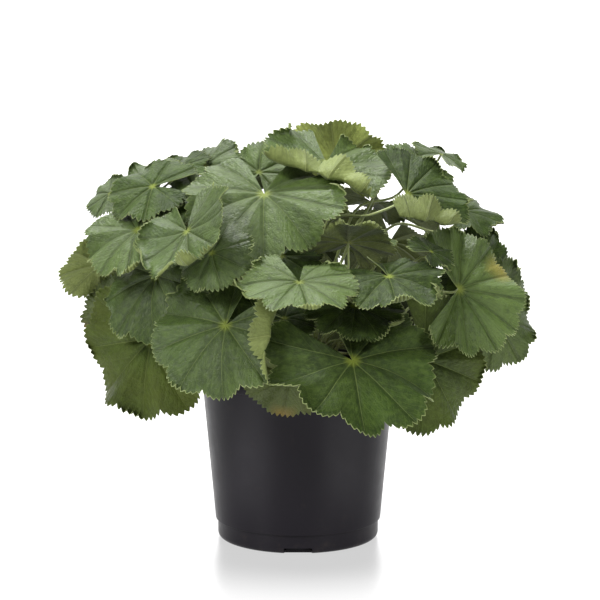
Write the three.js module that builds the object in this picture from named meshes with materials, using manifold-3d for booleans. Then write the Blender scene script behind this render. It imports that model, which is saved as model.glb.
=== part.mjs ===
// A potted lady's mantle: a dome of pleated round leaves on long stalks, in a black nursery pot.
// Millimetres, +Z up. The origin is the middle of the pot's underside. Who sees the front looks along +Y.

import * as THREE from 'three';
import { mergeVertices } from 'three/addons/utils/BufferGeometryUtils.js';
import Module from 'manifold-3d';

const wasm = await Module();
wasm.setup();

// Pot
const POT_HEIGHT = 125;
const LIP_RADIUS = 70;
const LIP_HEIGHT = 10.5;
const LIP_STEP = 1.3;
const LIP_SLOPE = 0.6;
const LIP_FLARE = 0.2;
const WALL = 1.4;
const FOOT_RADIUS = 57.8;
const FOOT_HEIGHT = 13.8;
const FOOT_ROUNDING = 2.4;
const FOOT_STEP = 1.6;
const FOOT_SLOPE = 0.4;
const FOOT_SLOPE_INSIDE = 1;
const FLOOR = 1.6;
const CHANNEL_LIFT = 3.2;
const CHANNEL_INNER = 34;
const CHANNEL_OUTER = 50;
const POT_SIDES = 30;
const DRAINS = 3;
const DRAIN_WIDTH = 20;
const DRAIN_HEIGHT = 4.4;
const FLOOR_HOLES = 6;
const FLOOR_HOLE_RADIUS = 4;
const FLOOR_HOLE_SIDES = 8;

// Compost
const FIT_GAP = 0.3;
const SOIL_EDGE = 112;
const SOIL_TOP = 115.5;
const CROWN_RADIUS = 34;
const SEAT_SPREAD = 27;
const ROOT_DEPTH = 12;
const HOLE_ROOM = 0.5;

// Leaves
const GOLDEN_ANGLE = Math.PI * (3 - Math.sqrt(5));
const DOME_CENTRE = new THREE.Vector3(0, 0, 143);
const BLADE = 0.8;
const STALK_RADIUS = 1.4;
const STALK_STEPS = 7;
const END_MARGIN = 0.14;
const BASAL_SHRINK = 0.12;
const LOBE_DEPTH = 0.14;
const LOBE_ROUNDNESS = 2.4;
const PLEAT = 0.035;
const HUB_DIMPLE = 0.03;
const DIMPLE_WIDTH = 0.22;
const RUFFLE_POWER = 2.2;
const POINTS_PER_LOBE = 4;
const DRAW_FACTOR = 16807;
const DRAW_MODULUS = 2147483647;

// How leaves settle against each other
const BLADE_SPACE = 1.35;
const WIDEST_SPACE = 4;
const HUB_ROOM = 8;
const PROBES = 14000;
const EDGE_PROBES = [0.33, 0.67];
const SOFT_PASSES = 120;
const FIRM_PASSES = 120;
const STIFFNESS = 0.35;

// How stalks find their way between the blades
const STALK_RISE = 4;
const STALK_SINK = 1.9;
const STALK_SPACE = 2.9;
const UPRIGHT = 0.14;
const APPROACH = 0.17;
const ARCH_HEIGHT = [0.1, 0.3];
const ARCH_MIDDLE = [0.52, 0.2];
const ARRIVAL_SLOPE = [40, 38];
const WIDEST_ASIDE = 70;
const APPROACH_SCATTER = 0.5;
const MOST_ARCHES = 1200;
const WIDE_FROM = 200;
const WIDEST_SWING = 55;
const WALK_STEP = 4;
const OWN_HUB_ZONE = 14;

const radians = THREE.MathUtils.degToRad;
const UP = new THREE.Vector3(0, 0, 1);

// Solids: every piece passes through here, so that it is one closed body

function solidOf(geometry) {
  geometry.deleteAttribute('normal');
  geometry.deleteAttribute('uv');
  const merged = mergeVertices(geometry, 1e-4);
  const mesh = new wasm.Mesh({
    numProp: 3,
    vertProperties: new Float32Array(merged.attributes.position.array),
    triVerts: new Uint32Array(merged.index.array),
  });
  return new wasm.Manifold(mesh);
}

function geometryOf(solid) {
  const mesh = solid.getMesh();
  const geometry = new THREE.BufferGeometry();
  geometry.setAttribute('position', new THREE.BufferAttribute(mesh.vertProperties, 3));
  geometry.setIndex(new THREE.BufferAttribute(mesh.triVerts, 1));
  return geometry;
}

function latheSolid(profile) {
  const points = profile.map(([radius, height]) => new THREE.Vector2(radius, height));
  const geometry = new THREE.LatheGeometry(points, POT_SIDES);
  geometry.rotateX(Math.PI / 2);
  return solidOf(geometry);
}

function prismSolid(radius, sides, bottom, top, x = 0, y = 0) {
  const geometry = new THREE.CylinderGeometry(radius, radius, top - bottom, sides);
  geometry.rotateX(Math.PI / 2);
  geometry.translate(x, y, (top + bottom) / 2);
  return solidOf(geometry);
}

// Pot: one turned shell with a stepped foot, a plain lip and a raised channel in its floor

const SHOULDER = POT_HEIGHT - LIP_HEIGHT;
const CHANNEL_TOP = CHANNEL_LIFT + FLOOR;
const WALL_FOOT_RADIUS = FOOT_RADIUS + FOOT_STEP;
const WALL_TOP_RADIUS = LIP_RADIUS - LIP_STEP;

function wallRadius(height) {
  const share = (height - FOOT_HEIGHT) / (SHOULDER - FOOT_HEIGHT);
  return THREE.MathUtils.lerp(WALL_FOOT_RADIUS, WALL_TOP_RADIUS, share);
}

function footEdge() {
  const [middle, size] = [FOOT_RADIUS - FOOT_ROUNDING, FOOT_ROUNDING];
  return [0, 1, 2].map((step) => {
    const angle = step * Math.PI / 4;
    return [middle + size * Math.sin(angle), size * (1 - Math.cos(angle))];
  });
}

function potSolid() {
  let shell = latheSolid([
    [0, 0], [CHANNEL_INNER, 0], [CHANNEL_INNER, CHANNEL_LIFT], [CHANNEL_OUTER, CHANNEL_LIFT],
    [CHANNEL_OUTER, 0], ...footEdge(), [FOOT_RADIUS, FOOT_HEIGHT],
    [wallRadius(FOOT_HEIGHT), FOOT_HEIGHT + FOOT_SLOPE], [wallRadius(SHOULDER), SHOULDER],
    [LIP_RADIUS, SHOULDER + LIP_SLOPE], [LIP_RADIUS + LIP_FLARE, POT_HEIGHT],
    [LIP_RADIUS - WALL, POT_HEIGHT], [wallRadius(SHOULDER) - WALL, SHOULDER],
    [wallRadius(FOOT_HEIGHT) - WALL, FOOT_HEIGHT + FOOT_SLOPE_INSIDE], [FOOT_RADIUS - WALL, FOOT_HEIGHT],
    [FOOT_RADIUS - WALL, FLOOR], [CHANNEL_OUTER + FLOOR, FLOOR], [CHANNEL_OUTER + FLOOR, CHANNEL_TOP],
    [CHANNEL_INNER - FLOOR, CHANNEL_TOP], [CHANNEL_INNER - FLOOR, FLOOR], [0, FLOOR],
  ]);
  const channelMiddle = (CHANNEL_INNER + CHANNEL_OUTER) / 2;
  for (let drain = 0; drain < DRAINS; drain += 1) {
    const turn = drain * 2 * Math.PI / DRAINS;
    const notch = new THREE.BoxGeometry(DRAIN_WIDTH, 2 * WALL + CHANNEL_OUTER / 2, 2 * DRAIN_HEIGHT);
    notch.translate(0, -FOOT_RADIUS, 0);
    notch.rotateZ(turn);
    shell = shell.subtract(solidOf(notch));
  }
  for (let order = 0; order < FLOOR_HOLES; order += 1) {
    const turn = (order + 0.5) * 2 * Math.PI / FLOOR_HOLES;
    const [x, y] = [channelMiddle * Math.sin(turn), channelMiddle * Math.cos(turn)];
    shell = shell.subtract(prismSolid(FLOOR_HOLE_RADIUS, FLOOR_HOLE_SIDES, 0, 2 * CHANNEL_TOP, x, y));
  }
  return shell;
}

// Compost: fills the pot, with a flat crown where the stalks stand in plain holes

function soilSolid(seats, turns) {
  const inset = WALL + FIT_GAP;
  const channelInner = CHANNEL_INNER - FLOOR - FIT_GAP;
  const channelOuter = CHANNEL_OUTER + FLOOR + FIT_GAP;
  const ball = latheSolid([
    [0, FLOOR + FIT_GAP], [channelInner, FLOOR + FIT_GAP], [channelInner, CHANNEL_TOP + FIT_GAP],
    [channelOuter, CHANNEL_TOP + FIT_GAP], [channelOuter, DRAIN_HEIGHT + FIT_GAP],
    [FOOT_RADIUS - inset, DRAIN_HEIGHT + FIT_GAP], [FOOT_RADIUS - inset, FOOT_HEIGHT],
    [wallRadius(FOOT_HEIGHT) - inset, FOOT_HEIGHT + FOOT_SLOPE_INSIDE + FIT_GAP],
    [wallRadius(SOIL_EDGE) - inset, SOIL_EDGE], [CROWN_RADIUS, SOIL_TOP], [0, SOIL_TOP],
  ]);
  const holes = seats.map(([x, y], order) => {
    const section = squareSection(STALK_RADIUS + HOLE_ROOM, Math.PI + turns[order]);
    const hole = new THREE.ExtrudeGeometry(section, { depth: 2 * ROOT_DEPTH, bevelEnabled: false });
    hole.translate(x, y, SOIL_TOP - ROOT_DEPTH - FIT_GAP);
    return solidOf(hole);
  });
  return ball.subtract(wasm.Manifold.union(holes));
}

// Leaf table. hub: where the veins meet. faces: the way the upper side looks, [turn round the pot from the
// front, tilt up]. tip: the clock angle of the middle lobe, 0 up and 90 to the right, for one who looks at
// the upper side. radius: hub to tip. across and along: how far the sides, and [the tip, the base], droop,
// in degrees. ruffle, waves, phase: the height, number and start of the margin's waves. notch: half of the
// cut at the stalk. curls: where the margin rolls up, [middle, half width, turn, where it starts].

function leaf(name, hub, faces, tip, radius, more = {}) {
  return {
    name: `leaf_${name}`, hub: new THREE.Vector3(...hub), faces, tip, radius,
    lobes: 9, across: 15, along: [20, 0], ruffle: 0.05, waves: 3, phase: 0, notch: 16, curls: [],
    ...more,
  };
}

const FRONT_LEAVES = [
  leaf('front_low_right', [36, -118, 152], [12, 52], 146, 64,
    { across: 14, along: [20, 0], notch: 20, curls: [[75, 60, 60, 0.5]] }),
  leaf('front_low_left', [-49, -121, 176], [-20, 42], 210, 56,
    { across: 20, along: [30, 5], curls: [[-125, 44, 200, 0.5], [128, 52, 130, 0.5]] }),
  leaf('left_middle', [-100, -68, 202], [-46, 32], 204, 52, { across: 25, along: [24, 5], phase: 60 }),
  leaf('left_low', [-103, -62, 155], [-30, 10], 222, 59, { across: 20, along: [12, 0], phase: 200 }),
  leaf('left_butterfly', [-74, -90, 233], [-55, 42], 135, 42,
    { across: -22, along: [10, 0], curls: [[0, 60, 140, 0.64], [75, 50, 130, 0.7]] }),
  leaf('crown_wide', [-23, -62, 256], [-6, 58], 176, 59, { across: 14, along: [38, 14], notch: 22 }),
  leaf('crown_top', [19, -28, 268], [28, 60], 205, 47,
    { across: -14, along: [-10, 0], curls: [[15, 85, 165, 0.4]] }),
  leaf('crown_behind', [28, 32, 269], [176, 24], 4, 44, { lobes: 7, along: [10, 0] }),
  leaf('right_top', [86, 12, 267], [30, 45], 70, 30, { along: [20, 10], lobes: 7 }),
  leaf('right_upper', [75, -62, 257], [24, 50], 100, 48,
    { across: 15, along: [10, 10], notch: 68, curls: [[92, 45, 215, 0.42]] }),
  leaf('right_small', [120, -5, 239], [30, 66], 85, 30, { lobes: 7 }),
  leaf('right_far_top', [100, 28, 270], [60, 68], 75, 22, { lobes: 7 }),
  leaf('right_behind', [130, -20, 195], [38, 22], 125, 40),
  leaf('right_big', [112, -74, 193], [24, 36], 104, 52, { across: 10, along: [14, 20], notch: 55 }),
  leaf('right_low_behind', [134, -32, 168], [34, 10], 112, 44),
  leaf('right_low', [88, -80, 144], [22, 8], 150, 54, { across: 20 }),
  leaf('middle_right', [62, -109, 208], [12, 70], 148, 42,
    { along: [16, 25], curls: [[32, 24, 110, 0.78], [-23, 24, 110, 0.78]] }),
  leaf('middle', [1, -124, 205], [0, 75], 170, 41,
    { along: [12, -5], curls: [[95, 28, 120, 0.76]] }),
  leaf('middle_left', [-54, -97, 216], [-25, 35], 150, 28, { across: 35, lobes: 7 }),
  leaf('middle_low', [39, -98, 185], [18, 64], 165, 37, { across: 20, curls: [[-25, 40, 110, 0.76]] }),
  leaf('funnel', [34, -66, 223], [180, 52], 0, 36, { along: [10, 0] }),
  leaf('middle_small', [90, -72, 217], [45, 60], 80, 20, { lobes: 7 }),
  leaf('far_left', [-140, -20, 201], [-160, 35], 98, 32, { lobes: 7 }),
  leaf('left_upper', [-112, -56, 232], [-35, 54], 235, 44),
  leaf('left_top', [-99, -28, 255], [-25, 56], 262, 35, { lobes: 7 }),
  leaf('left_small', [-131, 10, 245], [-40, 50], 275, 22, { lobes: 7 }),
  leaf('left_far_top', [-112, 28, 254], [-60, 62], 290, 34),
  leaf('top_left', [-94, 34, 263], [-60, 55], 320, 33),
  leaf('top_middle_left', [-68, 30, 266], [-40, 50], 340, 31, { lobes: 7 }),
  leaf('top_bright', [-28, 16, 261], [-20, 30], 350, 32, { lobes: 7 }),
  leaf('left_inner', [-70, -34, 253], [-20, 55], 180, 30, { lobes: 7 }),
  leaf('left_low_small', [-125, -34, 168], [-20, 15], 250, 32, { lobes: 7 }),
  leaf('inner_top', [-12, -62, 217], [0, 45], 170, 34, { lobes: 7 }),
  leaf('low_brown', [-5, -90, 137], [0, 0], 190, 34, { lobes: 7 }),
  leaf('inner_low', [-25, -80, 170], [-20, 20], 180, 36, { lobes: 7 }),
  leaf('inner_edge', [-9, -92, 175], [-5, 72], 100, 30, { lobes: 7 }),
];

// Back of the dome: rows of leaves round the side that the front view hides. Each row gives the height of
// its hubs round the dome's centre in degrees, their reach, the leaves' radius, and how many there are.

const BACK_ROWS = [
  { lift: 2, reach: 122, radius: 51, count: 6, from: 112, to: 264 },
  { lift: 30, reach: 132, radius: 48, count: 5, from: 112, to: 250 },
  { lift: 56, reach: 128, radius: 46, count: 3, from: 135, to: 215 },
  { lift: 24, reach: 92, radius: 38, count: 2, from: 150, to: 215 },
];
const DRAW_SEED = 3;
const TURN_SCATTER = 10;
const TIP_SCATTER = 30;
const LIFT_SCATTER = 6;
const SIZE_SCATTER = 0.12;
const FACE_LIFT = 12;
const NINE_LOBES_FROM = 44;

function seededDraw(seed) {
  let state = seed;
  return () => {
    state = (state * DRAW_FACTOR) % DRAW_MODULUS;
    return 2 * (state / DRAW_MODULUS) - 1;
  };
}

function outward(turn, lift) {
  const [a, e] = [radians(turn), radians(lift)];
  return new THREE.Vector3(Math.sin(a) * Math.cos(e), -Math.cos(a) * Math.cos(e), Math.sin(e));
}

function backLeaves() {
  const draw = seededDraw(DRAW_SEED);
  const leaves = [];
  for (const row of BACK_ROWS) {
    for (let place = 0; place < row.count; place += 1) {
      const evenTurn = THREE.MathUtils.lerp(row.from, row.to, place / (row.count - 1));
      const turn = evenTurn + TURN_SCATTER * draw();
      const lift = row.lift + LIFT_SCATTER * draw();
      const hub = outward(turn, lift).multiplyScalar(row.reach).add(DOME_CENTRE);
      const radius = row.radius * (1 + SIZE_SCATTER * draw());
      const faces = [turn + TURN_SCATTER * draw(), lift + FACE_LIFT + LIFT_SCATTER * draw()];
      const tip = 180 + TIP_SCATTER * draw();
      const lobes = radius > NINE_LOBES_FROM ? 9 : 7;
      const more = { lobes, across: 22, along: [26, 0], phase: 180 * draw() };
      leaves.push(leaf(`back_${leaves.length + 1}`, hub.toArray(), faces, tip, radius, more));
    }
  }
  return leaves;
}

const LEAVES = [...FRONT_LEAVES, ...backLeaves()];

// The upper side of a blade, by angle from the midrib and by share of the way from the hub to the margin

function lobePosition(shape, angle) {
  const half = Math.PI - radians(shape.notch);
  const along = (angle + half) * shape.lobes / (2 * half);
  return 2 * (along - Math.floor(along + 1e-9)) - 1;
}

function marginReach(shape, angle) {
  const shrink = 1 - BASAL_SHRINK * Math.abs(angle / Math.PI) ** 3;
  const lobe = 1 - LOBE_DEPTH * Math.abs(lobePosition(shape, angle)) ** LOBE_ROUNDNESS;
  return shape.radius * shrink * lobe;
}

function curled(shape, angle, share) {
  const reach = marginReach(shape, angle);
  for (const [middle, halfWidth, turn, start] of shape.curls) {
    const offset = Math.abs(THREE.MathUtils.radToDeg(angle) - middle) / halfWidth;
    if (offset < 1 && share > start) {
      const strength = radians(turn) * Math.cos(offset * Math.PI / 2) ** 2;
      const bend = strength / ((1 - start) * reach);
      const run = (share - start) * reach;
      if (strength > 1e-3) {
        return [start * reach + Math.sin(bend * run) / bend, (1 - Math.cos(bend * run)) / bend];
      }
    }
  }
  return [share * reach, 0];
}

function bent(distance, height, bend) {
  if (Math.abs(bend) < 1e-6) return [distance, height];
  const angle = distance * bend;
  return [
    Math.sin(angle) * (1 / bend + height),
    Math.cos(angle) * (1 / bend + height) - 1 / bend,
  ];
}

function bladePoint(shape, angle, share) {
  const [reach, roll] = curled(shape, angle, share);
  const pleat = -PLEAT * share * Math.cos(Math.PI * lobePosition(shape, angle));
  const wave = shape.ruffle * share ** RUFFLE_POWER * Math.sin(shape.waves * angle + radians(shape.phase));
  const dimple = -HUB_DIMPLE * Math.exp(-((share / DIMPLE_WIDTH) ** 2));
  const height = roll + shape.radius * (pleat + wave + dimple);
  const [x, lifted] = bent(reach * Math.sin(angle), height, radians(shape.across) / shape.radius);
  const droop = shape.along[Math.cos(angle) > 0 ? 0 : 1];
  const [y, z] = bent(reach * Math.cos(angle), lifted, radians(droop) / shape.radius);
  return new THREE.Vector3(x, y, z);
}

function leafAxes(shape) {
  const [turn, tilt] = shape.faces;
  const normal = outward(turn, tilt);
  const right = new THREE.Vector3(Math.cos(radians(turn)), Math.sin(radians(turn)), 0);
  const up = normal.clone().cross(right);
  const clock = radians(shape.tip);
  const tip = up.multiplyScalar(Math.cos(clock)).addScaledVector(right, Math.sin(clock));
  const side = tip.clone().cross(normal);
  return { normal, tip, side };
}

// A blade's upper side as a net: the hub, then rings of points, the last one along the margin

function ringShares(shape) {
  if (shape.curls.length === 0) return [0.5, 1];
  const start = Math.min(...shape.curls.map((curl) => curl[3]));
  return [start / 2, start, 1];
}

function bladeNet(shape) {
  const { normal, tip, side } = leafAxes(shape);
  const half = Math.PI - radians(shape.notch);
  const fine = shape.lobes * POINTS_PER_LOBE;
  const rings = ringShares(shape).map((share, order, all) => ({
    share, count: order === all.length - 1 ? fine : fine / 2,
  }));
  const at = (angle, share) => {
    const local = bladePoint(shape, angle, share);
    return shape.hub.clone().addScaledVector(side, local.x).addScaledVector(tip, local.y)
      .addScaledVector(normal, local.z);
  };
  const points = [at(0, 0)];
  for (const ring of rings) {
    ring.first = points.length;
    for (let column = 0; column <= ring.count; column += 1) {
      points.push(at(-half + 2 * half * column / ring.count, ring.share));
    }
  }
  const triangles = [];
  const [inner] = rings;
  for (let column = 0; column < inner.count; column += 1) {
    triangles.push([0, inner.first + column + 1, inner.first + column]);
  }
  for (let order = 1; order < rings.length; order += 1) {
    const [near, far] = [rings[order - 1], rings[order]];
    const ratio = far.count / near.count;
    for (let column = 0; column < near.count; column += 1) {
      const [a, b] = [near.first + column, near.first + column + 1];
      const c = far.first + column * ratio;
      if (ratio === 1) triangles.push([a, b, c], [b, c + 1, c]);
      else triangles.push([a, c + 1, c], [a, b, c + 1], [b, c + 2, c + 1]);
    }
  }
  return { shape, points, triangles };
}

// Settling: every point of a blade moves only along its own line from the dome's centre, until the blades
// that lie over each other there are clear. Which of two blades lies outside stays as it was placed.

function settled(nets) {
  const blades = nets.map((net) => {
    const rays = net.points.map((point) => point.clone().sub(DOME_CENTRE));
    const reach = rays.map((ray) => ray.length());
    rays.forEach((ray) => ray.normalize());
    const middle = rays.reduce((sum, ray) => sum.add(ray), new THREE.Vector3()).normalize();
    const widest = Math.min(...rays.map((ray) => ray.dot(middle)));
    const facets = net.triangles.map((corners) => facet(corners, rays, reach));
    return { net, rays, reach, first: [...reach], middle, widest, facets, near: neighbours(net) };
  });
  const contacts = findContacts(blades);
  for (let pass = 0; pass < SOFT_PASSES + FIRM_PASSES; pass += 1) {
    pushApart(blades, contacts);
    if (pass < SOFT_PASSES) blades.forEach(evenOut);
  }
  for (const blade of blades) {
    const place = (ray, k) => ray.clone().multiplyScalar(blade.reach[k]).add(DOME_CENTRE);
    blade.net.points = blade.rays.map(place);
  }
  return blades.map((blade) => blade.net);
}

function facet(corners, rays, reach) {
  const [a, b, c] = corners.map((k) => rays[k]);
  const [p, q, r] = corners.map((k) => rays[k].clone().multiplyScalar(reach[k]));
  const middle = a.clone().add(b).add(c).normalize();
  const normal = q.clone().sub(p).cross(r.clone().sub(p)).normalize();
  return {
    corners,
    middle,
    widest: Math.min(a.dot(middle), b.dot(middle), c.dot(middle)) - 1e-9,
    slant: Math.abs(normal.dot(middle)),
    inverse: new THREE.Matrix3().set(a.x, b.x, c.x, a.y, b.y, c.y, a.z, b.z, c.z).invert(),
  };
}

function neighbours(net) {
  const near = net.points.map(() => new Set());
  for (const [a, b, c] of net.triangles) {
    near[a].add(b).add(c);
    near[b].add(a).add(c);
    near[c].add(a).add(b);
  }
  return near.map((set) => [...set]);
}

function probeRays(blades) {
  const rays = blades.flatMap((blade) => blade.rays);
  for (const blade of blades) {
    for (const [a, b] of blade.net.triangles.flatMap(([p, q, r]) => [[p, q], [q, r], [r, p]])) {
      if (a < b) continue;
      for (const share of EDGE_PROBES) {
        rays.push(blade.rays[a].clone().lerp(blade.rays[b], share).normalize());
      }
    }
  }
  for (let order = 0; order < PROBES; order += 1) {
    const z = 1 - (2 * order + 1) / PROBES;
    const turn = GOLDEN_ANGLE * order;
    const flat = Math.sqrt(1 - z * z);
    rays.push(new THREE.Vector3(flat * Math.cos(turn), flat * Math.sin(turn), z));
  }
  return rays;
}

function crossings(blades, ray) {
  const found = [];
  blades.forEach((blade, order) => {
    if (ray.dot(blade.middle) < blade.widest - 1e-9) return;
    for (const piece of blade.facets) {
      if (ray.dot(piece.middle) < piece.widest) continue;
      const share = ray.clone().applyMatrix3(piece.inverse);
      if (Math.min(share.x, share.y, share.z) < -1e-6) continue;
      found.push({ order, corners: piece.corners, share: share.toArray(), slant: piece.slant });
    }
  });
  return found;
}

function reachAt(blade, hit) {
  return 1 / hit.corners.reduce((sum, k, n) => sum + hit.share[n] / blade.reach[k], 0);
}

function findContacts(blades) {
  const pairs = new Map();
  for (const ray of probeRays(blades)) {
    const hits = crossings(blades, ray);
    for (let i = 0; i < hits.length; i += 1) {
      for (let j = i + 1; j < hits.length; j += 1) {
        const [a, b] = [hits[i], hits[j]];
        if (a.order === b.order) continue;
        const key = a.order * blades.length + b.order;
        if (!pairs.has(key)) pairs.set(key, { lead: 0, list: [] });
        const pair = pairs.get(key);
        pair.lead += reachAt(blades[a.order], a) - reachAt(blades[b.order], b);
        pair.list.push([a, b]);
      }
    }
  }
  const contacts = [];
  for (const { lead, list } of pairs.values()) {
    for (const [a, b] of list) {
      const [outer, inner] = lead > 0 ? [a, b] : [b, a];
      const space = Math.min(BLADE_SPACE / Math.min(a.slant, b.slant), WIDEST_SPACE);
      const hubShare = outer.corners[0] === 0 ? outer.share[0] : 0;
      contacts.push({ outer, inner, space: space + HUB_ROOM * hubShare });
    }
  }
  return contacts;
}

function pushApart(blades, contacts) {
  const moves = blades.map((blade) => blade.reach.map(() => [0, 0]));
  const push = (hit, distance) => {
    const blade = blades[hit.order];
    const here = reachAt(blade, hit);
    const parts = hit.corners.map((k, n) => hit.share[n] * here / blade.reach[k]);
    const whole = parts.reduce((sum, part) => sum + part * part, 0);
    hit.corners.forEach((k, n) => {
      moves[hit.order][k][0] += parts[n] * (distance * parts[n] / whole);
      moves[hit.order][k][1] += parts[n];
    });
  };
  for (const { outer, inner, space } of contacts) {
    const lack = space - reachAt(blades[outer.order], outer) + reachAt(blades[inner.order], inner);
    if (lack <= 0) continue;
    push(outer, lack / 2);
    push(inner, -lack / 2);
  }
  blades.forEach((blade, order) => {
    moves[order].forEach(([sum, weight], k) => {
      if (weight > 0) blade.reach[k] += sum / weight;
    });
  });
}

function evenOut(blade) {
  const shift = blade.reach.map((reach, k) => reach - blade.first[k]);
  blade.reach = blade.reach.map((reach, k) => {
    const mean = blade.near[k].reduce((sum, other) => sum + shift[other], 0) / blade.near[k].length;
    return blade.first[k] + THREE.MathUtils.lerp(shift[k], mean, STIFFNESS);
  });
}

// Stalks: each stands upright in its seat in the crown, then arches out to its hub and comes in from below

class StalkPath extends THREE.Curve {
  constructor(seat, arch) {
    super();
    this.foot = new THREE.Vector3(seat[0], seat[1], SOIL_TOP - ROOT_DEPTH);
    this.arch = arch;
  }

  getSpacedPoints(steps) {
    return [this.foot, ...this.arch.getSpacedPoints(steps - 1)];
  }

  getTangentAt(share, target = new THREE.Vector3()) {
    const step = share * STALK_STEPS - 1;
    return this.arch.getTangentAt(Math.max(step / (STALK_STEPS - 1), 0), target);
  }
}

function squareSection(halfDiagonal, turn) {
  return new THREE.Shape([0, 1, 2, 3].map((corner) => {
    const angle = turn + corner * Math.PI / 2;
    return new THREE.Vector2(halfDiagonal * Math.cos(angle), halfDiagonal * Math.sin(angle));
  }));
}

// The turn of the stalk's section that puts one of its corners under the cut in the blade

function sectionTurn(shape, path) {
  const { tip } = leafAxes(shape);
  const { normals, binormals } = path.computeFrenetFrames(STALK_STEPS, false);
  return Math.atan2(-tip.dot(binormals[STALK_STEPS]), -tip.dot(normals[STALK_STEPS]));
}

function stalkMesh(shape, path) {
  const tube = new THREE.ExtrudeGeometry(squareSection(STALK_RADIUS, sectionTurn(shape, path)), {
    steps: STALK_STEPS, bevelEnabled: false, extrudePath: path,
  });
  tube.deleteAttribute('normal');
  tube.deleteAttribute('uv');
  const { attributes, index } = mergeVertices(tube, 1e-4);
  const points = [];
  for (let k = 0; k < attributes.position.count; k += 1) {
    points.push(new THREE.Vector3().fromBufferAttribute(attributes.position, k));
  }
  const triangles = [];
  for (let k = 0; k < index.count; k += 3) triangles.push([0, 1, 2].map((corner) => index.getX(k + corner)));
  return { points, triangles };
}

// A leaf as one solid: the blade's net above, the same net one blade's thickness below it, and the stalk,
// whose last ring of four corners takes the place of the hub on the underside

function leafSolid(shape, net, path) {
  const { points, triangles } = net;
  const upper = new THREE.BufferGeometry().setFromPoints(points);
  upper.setIndex(triangles.flat());
  upper.computeVertexNormals();
  const normals = points.map((_, k) => new THREE.Vector3().fromBufferAttribute(upper.attributes.normal, k));
  const count = points.length;
  const below = points.map((point, k) => point.clone().addScaledVector(normals[k], -BLADE));

  const stalk = stalkMesh(shape, path);
  const end = path.arch.getPoint(1);
  const atEnd = (k) => stalk.points[k].distanceTo(end) < STALK_RADIUS + END_MARGIN;
  const corners = stalk.points.map((_, k) => k).filter(atEnd);
  const { tip, side } = leafAxes(shape);
  const bearing = (k) => {
    const away = stalk.points[k].clone().sub(end);
    return Math.atan2(away.dot(side), away.dot(tip));
  };
  const angles = new Map(corners.map((k) => [k, bearing(k)]));
  const first = corners.reduce((a, b) => (Math.abs(angles.get(a)) > Math.abs(angles.get(b)) ? a : b));
  const start = angles.get(first) > 0 ? angles.get(first) - 2 * Math.PI : angles.get(first);
  angles.set(first, start);
  corners.sort((a, b) => angles.get(a) - angles.get(b));
  const turns = [...corners.map((k) => angles.get(k)), start + 2 * Math.PI];
  const ring = [...corners, first].map((k) => 2 * count + k);

  const faces = [...triangles];
  for (const [a, b, c] of triangles) if (a !== 0) faces.push([a + count, c + count, b + count]);
  faces.push(...underHub(shape, net, ring, turns));
  for (const [a, b] of openEdges(triangles)) {
    const [low, next] = [a, b].map((k) => (k === 0 ? ring[0] : k + count));
    faces.push([b, a, low], [b, low, next]);
  }
  const isEndCap = (triangle) => triangle.every((k) => corners.includes(k));
  for (const triangle of stalk.triangles) {
    if (!isEndCap(triangle)) faces.push(triangle.map((k) => 2 * count + k));
  }
  const geometry = new THREE.BufferGeometry().setFromPoints([...points, ...below, ...stalk.points]);
  geometry.setIndex(faces.flat());
  return solidOf(geometry);
}

// The band on the underside between the stalk's last ring and the first ring of the blade's net

function underHub(shape, net, ring, turns) {
  const half = Math.PI - radians(shape.notch);
  const count = net.points.length;
  const columns = shape.lobes * POINTS_PER_LOBE / 2;
  const faces = [];
  let corner = 0;
  for (let column = 0; column < columns; column += 1) {
    const middle = -half + 2 * half * (column + 0.5) / columns;
    const here = count + 1 + column;
    while (corner < 4 && middle > (turns[corner] + turns[corner + 1]) / 2) {
      faces.push([ring[corner + 1], ring[corner], here]);
      corner += 1;
    }
    faces.push([ring[corner], here, here + 1]);
  }
  const last = count + 1 + columns;
  for (; corner < 4; corner += 1) faces.push([ring[corner + 1], ring[corner], last]);
  return faces;
}

function openEdges(triangles) {
  const edges = new Map();
  for (const [a, b, c] of triangles) {
    for (const [from, to] of [[a, b], [b, c], [c, a]]) {
      if (!edges.delete(`${to} ${from}`)) edges.set(`${from} ${to}`, [from, to]);
    }
  }
  return [...edges.values()];
}

// Seats fill the crown like the seeds of a sunflower. The lowest leaf picks first, so it stands outermost.

function pickSeats() {
  const free = LEAVES.map((_, order) => {
    const radius = SEAT_SPREAD * Math.sqrt((order + 0.5) / LEAVES.length);
    return [radius * Math.cos(order * GOLDEN_ANGLE), radius * Math.sin(order * GOLDEN_ANGLE)];
  });
  const seats = [];
  const byHeight = LEAVES.map((shape, order) => ({ order, hub: shape.hub }))
    .sort((a, b) => a.hub.z / a.hub.length() - b.hub.z / b.hub.length());
  for (const { order, hub } of byHeight) {
    const away = hub.clone().sub(DOME_CENTRE).normalize().multiplyScalar(SEAT_SPREAD);
    const distance = ([x, y]) => Math.hypot(x - away.x, y - away.y);
    free.sort((a, b) => distance(b) - distance(a));
    seats[order] = free.pop();
  }
  return seats;
}

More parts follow.
